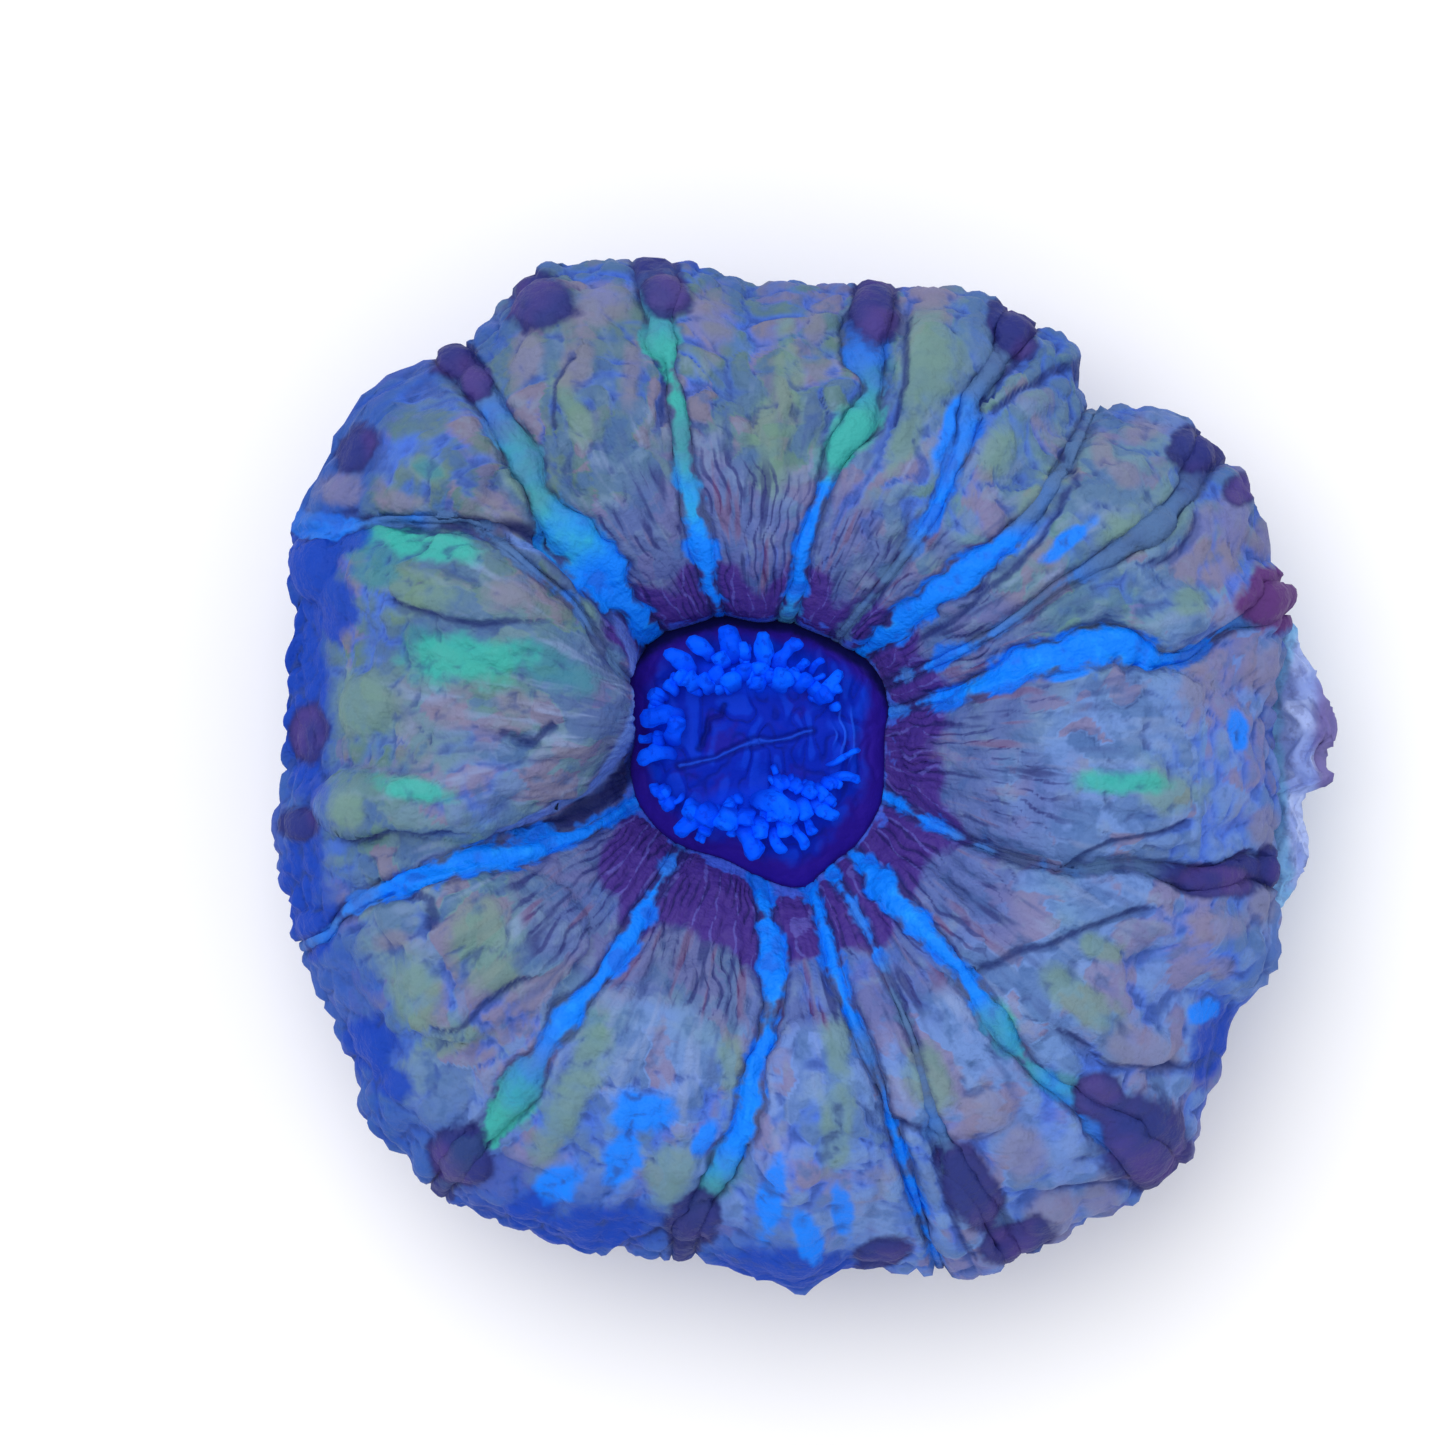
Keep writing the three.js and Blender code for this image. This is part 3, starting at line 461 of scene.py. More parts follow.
def line_distance(x, y, line):
    """Distance from (x, y) to a chain of straight pieces, and on which side of it that is, 1 or -1."""
    best, side = np.full_like(x, 99.0), np.ones_like(x)
    for (x0, y0), (x1, y1) in zip(line, line[1:]):
        dx, dy = x1 - x0, y1 - y0
        t = np.clip(((x - x0) * dx + (y - y0) * dy) / (dx * dx + dy * dy), 0, 1)
        distance = np.hypot(x - x0 - t * dx, y - y0 - t * dy)
        side = np.where(distance < best, np.sign(dx * (y - y0) - dy * (x - x0)), side)
        best = np.minimum(best, distance)
    return best, side


def local_mean(values, reach):
    """Mean of a grid over squares of 2 * reach + 1 points a side, its columns closed to a ring."""
    padded = np.pad(values, ((reach, reach), (0, 0)), mode="edge")
    rows = np.mean([padded[k : k + len(values)] for k in range(2 * reach + 1)], axis=0)
    return np.mean([np.roll(rows, k, axis=1) for k in range(-reach, reach + 1)], axis=0)


def surface_normals(points):
    """The cross product of the central differences along the rows and round the columns."""
    along = np.gradient(points, axis=0)
    across = np.roll(points, -1, axis=1) - np.roll(points, 1, axis=1)
    normal = np.cross(along, across)
    return normal / np.maximum(np.linalg.norm(normal, axis=-1, keepdims=True), 1e-9)


def grid_mesh(name, points, ring=False, caps=None):
    """An object from a grid of points in mm, whose columns run all the way round. ring joins the last
    row to the first. caps are two points that close the first and the last row with fans."""
    rows, columns = points.shape[:2]
    vertices = points.reshape(-1, 3)
    row, column = np.meshgrid(np.arange(rows if ring else rows - 1), np.arange(columns), indexing="ij")
    here, beside = row * columns + column, row * columns + (column + 1) % columns
    below, corner = (here + columns) % (rows * columns), (beside + columns) % (rows * columns)
    quads = np.stack([here, below, corner, beside], axis=-1).reshape(-1, 4)
    loops, sizes = [quads.ravel()], [np.full(len(quads), 4)]
    if caps is not None:
        first, last = len(vertices), len(vertices) + 1
        vertices = np.vstack([vertices, caps])
        i = np.arange(columns)
        j = (i + 1) % columns
        end = (rows - 1) * columns
        fans = np.vstack([
            np.stack([np.full(columns, first), i, j], axis=-1),
            np.stack([np.full(columns, last), end + j, end + i], axis=-1),
        ])
        loops.append(fans.ravel())
        sizes.append(np.full(len(fans), 3))
    return mesh_object(name, vertices, np.concatenate(loops), np.concatenate(sizes))


def mesh_object(name, vertices, loops, sizes):
    """An object from vertices in mm, the corners of all faces in a row, and each face's corner count."""
    mesh = bpy.data.meshes.new(name)
    mesh.vertices.add(len(vertices))
    mesh.vertices.foreach_set("co", (vertices * MM).astype(np.float32).ravel())
    mesh.loops.add(len(loops))
    mesh.loops.foreach_set("vertex_index", loops.astype(np.int32))
    mesh.polygons.add(len(sizes))
    mesh.polygons.foreach_set("loop_start", (np.cumsum(sizes) - sizes).astype(np.int32))
    mesh.polygons.foreach_set("use_smooth", np.ones(len(sizes), bool))
    mesh.update(calc_edges=True)
    mesh.validate()
    piece = bpy.data.objects.new(name, mesh)
    bpy.context.collection.objects.link(piece)
    return piece


def paint(piece, masks):
    """Stores each mask as a number, or grain as a row of three, for each vertex. Vertices past a
    mask's end get its last value."""
    for name, values in masks.items():
        width = 3 if name == "grain" else 1
        flat = values.reshape(-1, width).astype(np.float32)
        missing = len(piece.data.vertices) - len(flat)
        flat = np.vstack([flat, np.repeat(flat[-1:], missing, axis=0)])
        kind, key = ("FLOAT_VECTOR", "vector") if width == 3 else ("FLOAT", "value")
        piece.data.attributes.new(name, kind, "POINT").data.foreach_set(key, flat.ravel())


def place_piece(piece, material, node=None):
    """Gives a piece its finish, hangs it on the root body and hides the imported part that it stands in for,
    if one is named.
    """
    piece.data.materials.append(material)
    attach(piece, "root")
    if node:
        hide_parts(node)


# The lobes and bands


def band_tables():
    """For each band: its direction in radians, half width and share of azure, mint and plum, as curves
    of the share of the way from the foot of the inner wall (0) to the rim (1)."""
    tables = []
    for band in BANDS:
        radius, direction, half = (np.array(column, float) for column in zip(*band["path"]))
        angle = np.radians(direction)
        foot, rim = foot_radius(angle), rim_radius(angle)
        share = (radius - foot) / (rim - foot)
        flow = [FLOW_COLOURS[name] for name in band["flow"].split()]
        steps = np.linspace(0, 1, len(flow))
        table = {"angle": through(share, angle), "half": through(share, half), "crease": band["crease"]}
        for name, amounts in zip(("azure", "mint", "plum"), zip(*flow)):
            table[name] = through(steps, amounts)
        tables.append(table)
    return tables


def sector_columns(total):
    """Which sector each column is in, whether that is a band, and where it lies across it (-1 to 1).
    Columns crowd towards the creases, where the surface is steep."""
    sector, is_band, across = [], [], []
    directions = [band["path"][len(band["path"]) // 2][1] for band in BANDS]
    widths = [2 * np.mean([half for _, _, half in band["path"]]) for band in BANDS]
    band_counts = [max(6, round(width / COLUMN_WIDTH)) for width in widths]
    lobe_total = total - sum(band_counts)
    for i, count in enumerate(band_counts):
        width = (directions[(i + 1) % len(BANDS)] - directions[i]) % 360
        lobe_count = round(lobe_total * width / 360)
        for columns, band in ((count, True), (lobe_count, False)):
            even = 2 * np.arange(columns) / columns - 1
            sector.append(np.full(columns, i))
            is_band.append(np.full(columns, band))
            across.append(0.75 * even + 0.25 * np.sin(even * math.pi / 2))
    return np.concatenate(sector), np.concatenate(is_band), np.concatenate(across)


def even_shares(rows, sizes):
    """Shares from 0 to 1 that are evenly spaced along the lobes' profile, and that path in mm."""
    share = np.linspace(0, 1, 2000)
    radius = FOOT_MEAN + share * RING_MEAN
    path = np.append(0, np.cumsum(np.hypot(np.diff(radius), np.diff(lobe_height(share, sizes)))))
    even = np.interp(np.linspace(0, path[-1], rows), path, share)
    return even, np.linspace(0, path[-1], rows)


def round_over(distance, radius):
    """Height of a quarter-round edge of that radius at a distance in from it, from 0 to 1."""
    q = np.clip(distance / radius, 0, 1)
    return np.sqrt(1 - (1 - q) ** 2)


def frayed_halves(tables, shares, path, side):
    """Half width of each band on one side: its own, widened and narrowed by noise along the path."""
    half = np.stack([table["half"](shares) for table in tables], axis=1)
    azure = np.stack([table["azure"](shares) for table in tables], axis=1)
    spot = np.stack(np.broadcast_arrays(path[:, None], 9.7 * np.arange(len(tables)), 40.0 * side), axis=-1)
    fray = 0.6 * soft_noise(spot / [3.2, 1, 1], 1) + 0.5 * soft_noise(spot / [1.3, 1, 1], 2)
    return half * (1 + (0.15 + 0.4 * azure) * fray)


def sector_grid(columns, rows, sizes):
    """The lobes' columns and rows laid out between the bands: a dict of whole grids."""
    tables = band_tables()
    sector, is_band, across = sector_columns(columns)
    following = (sector + 1) % len(BANDS)
    wrap = np.where(following == 0, TURN, 0)
    shares, path = even_shares(rows, sizes)
    share = shares[:, None] + 0 * across
    angles = np.stack([table["angle"](shares) for table in tables], axis=1)
    left, right = frayed_halves(tables, shares, path, 0), frayed_halves(tables, shares, path, 1)
    here, there = angles[:, sector], angles[:, following] + wrap
    half_here = np.where(across < 0, left[:, sector], right[:, sector])
    angle = np.where(is_band, here, (here + there) / 2)
    for _ in range(3):
        radius = ring_radius(share, angle)
        start, end = here + right[:, sector] / radius, there - left[:, following] / radius
        in_lobe = start + (end - start) * (across + 1) / 2
        angle = np.where(is_band, here + across * half_here / radius, in_lobe)
    radius = ring_radius(share, angle)
    half_lobe = (end - start) * radius / 2
    edge = np.where(is_band, (np.abs(across) - 1) * half_here, (1 - np.abs(across)) * half_lobe)
    inner, outer = np.array([table["crease"] for table in tables]).T
    crease = inner + (outer - inner) * shares[:, None]
    share_of_next = np.where(is_band, 0, (across + 1) / 2)
    depth = crease[:, sector] * (1 - share_of_next) + crease[:, following] * share_of_next
    nearest = np.where(is_band | (across < 0), sector, following)
    flows = {
        "ribbon_" + name: np.stack([table[name](shares) for table in tables], axis=1)[:, nearest]
        for name in ("azure", "mint", "plum")
    }
    return dict(share=share, path=path, angle=angle, radius=radius, edge=edge, depth=depth,
                is_band=is_band, across=across, half=half_here, flows=flows)


def fold_height(grid):
    """How far the folds sink below the plain ring: a lobe is a wide crown, 1 - v^2.4 under a square
    root, with a quarter-round shoulder, and a band is a flatter crown between two creases."""
    across = np.abs(grid["across"])
    drop, crease = crown_drop(grid["share"]) * grid["depth"], crease_depth(grid["share"]) * grid["depth"]
    lobe = drop * (np.sqrt(1 - across**2.4) - 1) + crease * (round_over(grid["edge"], 1.2) - 1)
    belly = 1 + grid["flows"]["ribbon_mint"]
    rise = np.minimum((crease + 0.3 * drop) * belly, 0.75 * grid["half"])
    return np.where(grid["is_band"], rise * np.sqrt(1 - across**3) - drop - crease, lobe)


def ring_points(grid, push, sizes):
    """The plain ring, radius and height against share turned round the axis, pushed along its normal
    in the plane through the axis."""
    share, angle, radius = grid["share"], grid["angle"], grid["radius"]
    slope = around(WALL_SLOPES, angle)
    small = 0.004
    low, high = np.clip(share - small, 0, 1), np.clip(share + small, 0, 1)
    rise = lobe_height(high**slope, sizes) - lobe_height(low**slope, sizes)
    run = (high - low) * (rim_radius(angle) - foot_radius(angle))
    length = np.hypot(rise, run)
    reach = radius - rise / length * push
    height = lobe_height(share**slope, sizes) + run / length * push
    return polar(reach, angle, height)


def cell_domes(points, normal):
    """Domes on the folded surface, each measured in the plane that touches the surface at its centre
    and falling to 0 as height * (1 - q^2) ^ 0.5."""
    dome = np.zeros(points.shape[:-1])
    every_cell = [*BLANK_CELLS, *(cell for patches in TISSUE_CELLS.values() for cell in patches)]
    for x, y, half_length, half_width, turn, height in every_cell:
        if height == 0:
            continue
        gap = (points[..., 0] - x) ** 2 + (points[..., 1] - y) ** 2
        centre = np.unravel_index(np.argmin(gap - 0.02 * points[..., 2]), gap.shape)
        n = normal[centre]
        along = np.array([math.cos(math.radians(turn)), math.sin(math.radians(turn)), 0])
        along -= n * np.dot(along, n)
        along /= np.linalg.norm(along)
        away = points - points[centre]
        q2 = ((away @ along) / half_length) ** 2
        q2 += ((away @ np.cross(n, along)) / half_width) ** 2 + ((away @ n) / half_width) ** 2
        dome = np.maximum(dome, height * np.sqrt(np.clip(1 - q2, 0, 1)))
    return dome


def grain_vector(angle, path):
    """A ring of one radius, and the path from the foot as its height: what is spread evenly on it has
    no join and narrows towards the mouth."""
    return polar(GRAIN_RADIUS, angle, path[:, None])


def fold_lines(x, y):
    """Height and distance of the sharp folds: a narrow groove, and beyond it a lip on one side, which
    makes that side overlap the other."""
    nearest, height = np.full_like(x, 9.0), np.zeros_like(x)
    for line in FOLD_LINES:
        distance, side = line_distance(x, y, line)
        lip = 0.7 * bell(distance, 2.8) * smooth(-0.5, 0.5, side * distance)
        height = np.where(distance < nearest, lip, height)
        nearest = np.minimum(nearest, distance)
    return nearest, height - 0.5 * bell(nearest, 0.7)


def lobe_relief(grid, points, grain, dome, sizes):
    """The skin's relief in mm and its masks. Near the mouth it is wavy wrinkles, sin(131 * direction +
    noise), and wider pleats; then lumps and beads; and on the outer slope cobbles, which are cells
    with rounded tops that climb outward to a sharp lower edge."""
    share, angle = grid["share"], grid["angle"]
    warp = noise_vector(grain / 3.4, (11, 12, 13))
    ripple = noise_vector(points / 1.5, (14, 15, 16))
    wander = 0.55 + 0.45 * soft_noise(grain / [4.0, 4.0, 7.0], 5)
    wrinkle = np.sin(131 * angle + 5.5 * warp[..., 0] + 1.9 * ripple[..., 0])
    wrinkle *= 0.3 + 0.7 * smooth(-0.5, 0.4, soft_noise(grain / [2.0, 2.0, 3.5], 19))
    pleat = np.sin(51 * angle + 3.6 * warp[..., 1] + 0.9 * ripple[..., 1] + share)
    _, gap, tone, past = cells(grain / [2.1, 2.1, 6.0] + 0.45 * warp + 0.1 * ripple, 30)
    cobble = np.sqrt(np.clip(1.8 * gap, 0, 1)) * (0.75 + 0.55 * past)
    _, small_gap, spot, _ = cells(points / 3.2 + 0.4 * warp + 0.15 * ripple, 40)
    bead = np.sqrt(np.clip(1.8 * small_gap, 0, 1))
    lump = soft_noise(points / 4.6 + 0.4 * warp, 24) + 0.35 * soft_noise(points / 1.9, 25)
    ragged = np.sqrt(np.abs(soft_noise(points / 4.4 + 0.8 * warp + 0.2 * ripple, 26)))

    x, y = points[..., 0], points[..., 1]
    mound = (ellipse_distance(x, y, LEFT_LOBE) - 1) * LEFT_LOBE[3]
    to_mouth = (x - LEFT_LOBE[0]) / np.hypot(x - LEFT_LOBE[0], y - LEFT_LOBE[1])
    facing = smooth(0.2, 0.55, to_mouth) * np.where(grid["is_band"], 0.3, 1)
    calm = 1 - smooth(-1.5, 0.3, mound)
    fold_line, fold = fold_lines(x + 0.9 * warp[..., 0], y + 0.9 * warp[..., 1])
    fold = fold - 1.2 * bell(mound - 0.9, 0.9) * facing
    lower_left = smooth(0, 35, -x - 0.4 * y)

    inner = smooth(-0.02, 0.06, share) * (1 - smooth(0.26, 0.5, share + 0.1 * warp[..., 2])) * (1 - calm)
    middle = smooth(0.1, 0.3, share) * (1 - smooth(0.55, 0.8, share))
    outer = smooth(0.4, 0.7, share)
    relief = (
        sizes["wrinkle_depth"] * (np.sqrt(0.5 + 0.5 * wrinkle) - 0.6) * inner * wander
        + 1.1 * sizes["wrinkle_depth"] * (np.sqrt(0.5 + 0.5 * pleat) - 0.6) * (0.5 * inner + middle) * wander
        + sizes["cobble_height"] * (cobble - 0.45) * (0.3 * middle + 0.9 * outer) * wander
        + 0.32 * (bead - 0.5) * (0.5 * middle + outer + 0.4 * calm + 2 * smooth(0.88, 1, share))
        + 0.36 * (ragged - 0.6) * (middle + 0.7 * outer)
        + 0.55 * lump * smooth(0.1, 0.4, share + 0.3 * calm)
    )
    on_lobe = np.where(grid["is_band"], 0.45, 1) * (0.5 + 0.5 * smooth(0.0, 1.2, np.abs(grid["edge"])))
    relief = relief * on_lobe * (1 - 0.75 * smooth(0.1, 0.9, dome)) + fold * smooth(0.05, 0.2, share)
    masks = {
        "wrinkle": wrinkle, "pleat": pleat, "inner": inner, "fold_line": np.minimum(fold_line, 3),
        # masks of the left lobe's crest and of the crease beside it, for a painted highlight and a painted
        # shadow
        "crest": bell(mound, 0.6) * facing, "crease_shadow": bell(mound - 1.4, 1.2) * facing,
        "hollow": np.clip((local_mean(relief, 3) - relief) / 0.3, -1, 1),
        "tint": 0.6 * tone + 0.4 * spot, "warm": 0.5 + (y - 0.7 * x) / 100,
        "shore": smooth(0.74, 0.98, share + 0.05 * warp[..., 2]) * (0.35 + 0.65 * lower_left),
    }
    return relief, masks


def lobe_surface(sizes, columns=640, rows=130):
    """The whole ring of flesh: the plain ring pushed by the folds and the swellings, then by domes and
    the skin's relief. The last rows curl under the rim and back along the skeleton to close it."""
    grid = sector_grid(columns, rows, sizes)
    share, angle, radius = grid["share"], grid["angle"], grid["radius"]
    x, y = radius * np.cos(angle), radius * np.sin(angle)
    swell = swellings(x, y) * smooth(0, 0.05, share) * (1 - 0.85 * smooth(0.6, 1, share))
    push = fold_height(grid) * smooth(-0.03, 0.03, share) + swell
    points = ring_points(grid, push, sizes)
    normal = surface_normals(points)
    dome = cell_domes(points, normal)
    grain = grain_vector(angle, grid["path"])
    relief, masks = lobe_relief(grid, points, grain, dome, sizes)
    points = points + normal * (DOME_RISE * dome + relief)[..., None]

    skirt = skirt_rows(points[-1], sizes)
    extra = len(skirt)
    x, y = points[..., 0], points[..., 1]
    masks |= grid["flows"] | {
        "edge": grid["edge"],
        "foot": radius - foot_radius(angle),
        "moat": inner_wall_stain(angle, radius),
    }
    masks |= {name: stain(x, y, patches) for name, patches in TISSUE_CELLS.items()}
    # under the rim the bands and the cells narrow to nothing, and the other masks stay as on it
    below = np.arange(1, extra + 1)[:, None]
    fading = {"edge": BAND_FADE * below} | {name: -CELL_FADE * below for name in TISSUE_CELLS}
    masks = {
        name: np.concatenate([values, values[-1:] + fading.get(name, 0 * below)])
        for name, values in masks.items()
    }
    beyond = np.linspace(1, 1.6, extra + 1)[1:, None] + 0 * share[0]
    masks["reach"] = np.concatenate([share, beyond])
    path = np.concatenate([grid["path"], grid["path"][-1] + SKIRT_STEP * np.arange(1, extra + 1)])
    last_angle = np.repeat(angle[-1:], extra, axis=0)
    masks["grain"] = grain_vector(np.concatenate([angle, last_angle]), path)
    return np.concatenate([points, skirt]), masks


def inner_wall_stain(angle, radius):
    """How far a point is below the upper edge of the maroon inner wall, in mm. The wall is missing on
    the left side, and its edge wanders."""
    degrees = np.degrees(angle) % 360
    side = np.clip(smooth(203, 222, degrees) + 1 - smooth(140, 165, degrees), 0, 1)
    width = 6.6 - 1.9 * np.sin(angle) + 0.9 * np.sin(11 * angle) + 0.5 * np.sin(23 * angle)
    return foot_radius(angle) + width * side - (1 - side) - radius


def skirt_rows(rim, sizes, outer=16):
    """Rows that carry the rim's row down and under: a quarter of an ellipse from the rim to the
    skeleton's wall, with soft lumps, then back up inside along the skeleton to the foot of the
    inner wall."""
    angle = np.arctan2(rim[:, 1], rim[:, 0])
    start = np.hypot(rim[:, 0], rim[:, 1])
    bare = bareness(angle)
    skirt, cup_height = sizes["skirt_height"], sizes["cup_height"]
    end = (wall_radius(angle, skirt, sizes) + 0.9) * (1 - bare) + (rim_radius(angle) - 3.0) * bare
    low = skirt * (1 - bare) + (cup_height + 0.6) * bare
    rows = []
    for part in np.linspace(0, 1, outer + 1)[1:]:
        inward, down = 1 - math.cos(part * math.pi / 2), math.sin(part * math.pi / 2)
        plain = rim_radius(angle) * (1 - inward) + end * inward
        lumps = 0.8 * math.sin(part * math.pi) * soft_noise(polar(14, angle, 3 * part), 27)
        radius = plain + lumps + (start - rim_radius(angle)) * (1 - part) ** 1.5
        rows.append((radius, rim[:, 2] * (1 - down) + low * down))
    cup = cup_radius(angle)
    foot = foot_radius(angle)
    rows += [
        (np.minimum(end, cup - 1.5), np.maximum(low, cup_height + 1.0)),
        (cup - 8, cup_height + 1.0),
        (26, 15.0),
        (foot + 2.5, 19),
        (foot + 0.6, 22.5),
    ]
    return np.stack([polar(radius, angle, height) for radius, height in rows])


# The disc, the mouth and the tentacles


def disc_surface(sizes, columns=360, rows=110):
    """Share and angle to a point of the disc: a shallow bowl with a moat at its edge, low lips and a
    thin raised line along the slit, a fold beside it, faint stripes towards the mouth and, on the
    right, ripples that run round."""
    angle = np.arange(columns) / columns * TURN + np.zeros((rows, 1))
    share = np.linspace(0.01, 1.12, rows)[:, None] + 0 * angle
    radius = share * foot_radius(angle)
    plane = polar(radius, angle, 0)
    x, y = plane[..., 0], plane[..., 1]
    wobble = 0.4 * soft_noise(plane / 1.6, 6)
    slit, _ = line_distance(x + wobble, y + wobble, MOUTH_LINE)
    fold, _ = line_distance(x - wobble, y + wobble, DISC_FOLD)
    warp = noise_vector(plane / 2.0, (4, 5, 8))
    stripes = soft_noise(plane / [1.1, 2.6, 1] + 0.5 * warp, 7)
    right = np.exp(-(((x - 8.9) / 1.6) ** 2) - (y / 3.6) ** 2)
    ripples = np.sin((radius + wobble) * TURN / 1.05) * right
    lumps = soft_noise(plane / 1.3, 3) + 2.5 * (np.sqrt(np.abs(stripes)) - 0.6)
    bed = stain(x, y, TENTACLE_BEDS)
    height = disc_height(share, sizes) - 3 * smooth(0.97, 1.12, share)
    height = height + 0.7 * bell(slit, 2.2) - 0.6 * bell(slit, 0.5) + 0.35 * bell(slit, 0.16)
    height = height - 0.5 * bell(fold, 0.3) + 0.14 * ripples + 0.16 * lumps
    height = height + 0.5 * smooth(0, 0.5, bed)
    # where the painted shadow of the overhanging inner wall falls on the disc's edge, widest at the top
    gap = share * (0.82 + 0.18 * smooth(-0.1, 0.7, np.sin(angle + 0.15)))
    masks = {"slit": slit, "fold_line": fold, "stripe": np.abs(stripes), "ripple": ripples, "bed": bed,
             "edge": share, "gap": gap}
    return np.stack([x, y, height], axis=-1), masks


def disc_bottom(points):
    """Closes the disc underneath: its last row again, narrower and lower."""
    low = points[-1] * [0.97, 0.97, 0] + [0, 0, DISC_UNDERSIDE]
    return np.concatenate([points, low[None]])


def per_tube(values):
    """One value for each tube, shaped to go with its rings and the points of a ring."""
    return values[:, None, None]


def tentacle_surfaces(sizes, around_count=20, along_count=18):
    """Each tentacle is a ball-ended tube along a rising line: radius w/2 * (1 - (2t - 1)^6) ^ 0.5 swollen
    towards the tip, round a centre that climbs as sin and runs from root to tip. Small buds crowd
    round the rounded ones, and noise makes all of them lumpy."""
    random = np.random.default_rng(TENTACLE_SEED)
    beads = np.array(BEADS)
    buds = np.repeat(beads, 3, axis=0)
    buds[:, :2] += random.normal(0, 0.6, (len(buds), 2))
    buds[:, 2] = random.uniform(0.6, 1.1, len(buds))
    beads = np.vstack([beads, buds])
    outward = beads[:, :2] / np.linalg.norm(beads[:, :2], axis=1, keepdims=True)
    longer = random.uniform(0.3, 1.1, (len(beads), 1))
    stubs = np.hstack([beads[:, :2], beads[:, :2] + longer * outward, beads[:, 2:]])
    data = np.vstack([FINGERS, stubs])
    count = len(data)
    root, tip = data[:, 0:2], data[:, 2:4]
    width = data[:, 4] * sizes["tentacle_width"] / MIDDLING_TENTACLE
    t = np.linspace(0, 1, along_count)[None, :, None]
    turn = (np.arange(around_count) / around_count * TURN)[None, None, :]
    direction = tip - root
    length = np.linalg.norm(direction, axis=1)
    forward = direction / length[:, None]
    side = np.stack([-forward[:, 1], forward[:, 0]], axis=1)
    phase = per_tube(random.uniform(0, 6, count))
    swell = 0.84 + 0.2 * t + 0.07 * np.sin(8 * t + phase) + 0.06 * np.sin(3 * turn + 2 * phase)
    radius = per_tube(width / 2) * np.sqrt(np.clip(1 - (2 * t - 1) ** 6, 0, 1)) * swell
    reach = per_tube(length + 0.8 * width) * t - per_tube(0.4 * width)
    sway = 0.12 * np.sin(4 * t + phase) * per_tube(length)
    share = np.linalg.norm(root, axis=1) / foot_radius(np.arctan2(root[:, 1], root[:, 0]))
    ground = per_tube(disc_height(share, sizes))
    lift = ground + 0.5 + (0.35 + 0.9 * np.sin(t * 1.9)) * per_tube(width / MIDDLING_TENTACLE)
    cosine, sine = np.cos(turn) * radius + sway, np.sin(turn) * radius
    x, y = (
        per_tube(root[:, k]) + reach * per_tube(forward[:, k]) + cosine * per_tube(side[:, k])
        for k in (0, 1))
    z = lift + sine + 0 * x
    points = np.stack([x, y, z], axis=-1)
    middle = points.mean(axis=2, keepdims=True)
    lumpy = 1 + 0.3 * soft_noise(points / 0.75, 9)[..., None]
    masks = {"tone": per_tube(random.uniform(0, 1, count)) + 0 * x, "along": t + 0 * x}
    return middle + (points - middle) * lumpy, masks


def tube_faces(tubes, rows, columns):
    """Faces of many equal grids, each closed round its columns. Its end rows have shrunk to points."""
    row, column = np.meshgrid(np.arange(rows - 1), np.arange(columns), indexing="ij")
    here, beside = row * columns + column, row * columns + (column + 1) % columns
    one = np.stack([here, here + columns, beside + columns, beside], axis=-1).reshape(-1, 4)
    return (one[None] + (np.arange(tubes) * rows * columns)[:, None, None]).reshape(-1, 4)


# The skeleton


def skeleton_profile(angle, sizes):
    """(radius, height) keys of the skeleton's outline from the base, up the wall, over the rim and
    down into the cup, for each angle."""
    cup, base, top = cup_radius(angle), sizes["base_radius"], sizes["cup_height"]
    wall = cup - base
    flat = 0 * angle
    return [
        (base + flat, flat), (base + 0.36 * wall, 5.5 + flat), (base + 0.7 * wall, 11.0 + flat),
        (cup, top - 2.4 + flat), (cup - 0.6, top - 0.5 + flat), (cup - 2.4, top + flat),
        (cup - 7, top - 2.6 + flat), (24 + flat, 12.0 + flat),
    ]


def wall_radius(angle, height, sizes):
    """Radius of the skeleton's outer wall at a height, straight between the keys."""
    keys = skeleton_profile(angle, sizes)[:4]
    radius = keys[0][0] + 0 * angle
    for (r0, z0), (r1, z1) in zip(keys, keys[1:]):
        t = np.clip((height - z0) / (z1 - z0), 0, 1)
        radius = np.where(height >= z0, r0 + (r1 - r0) * t, radius)
    return radius


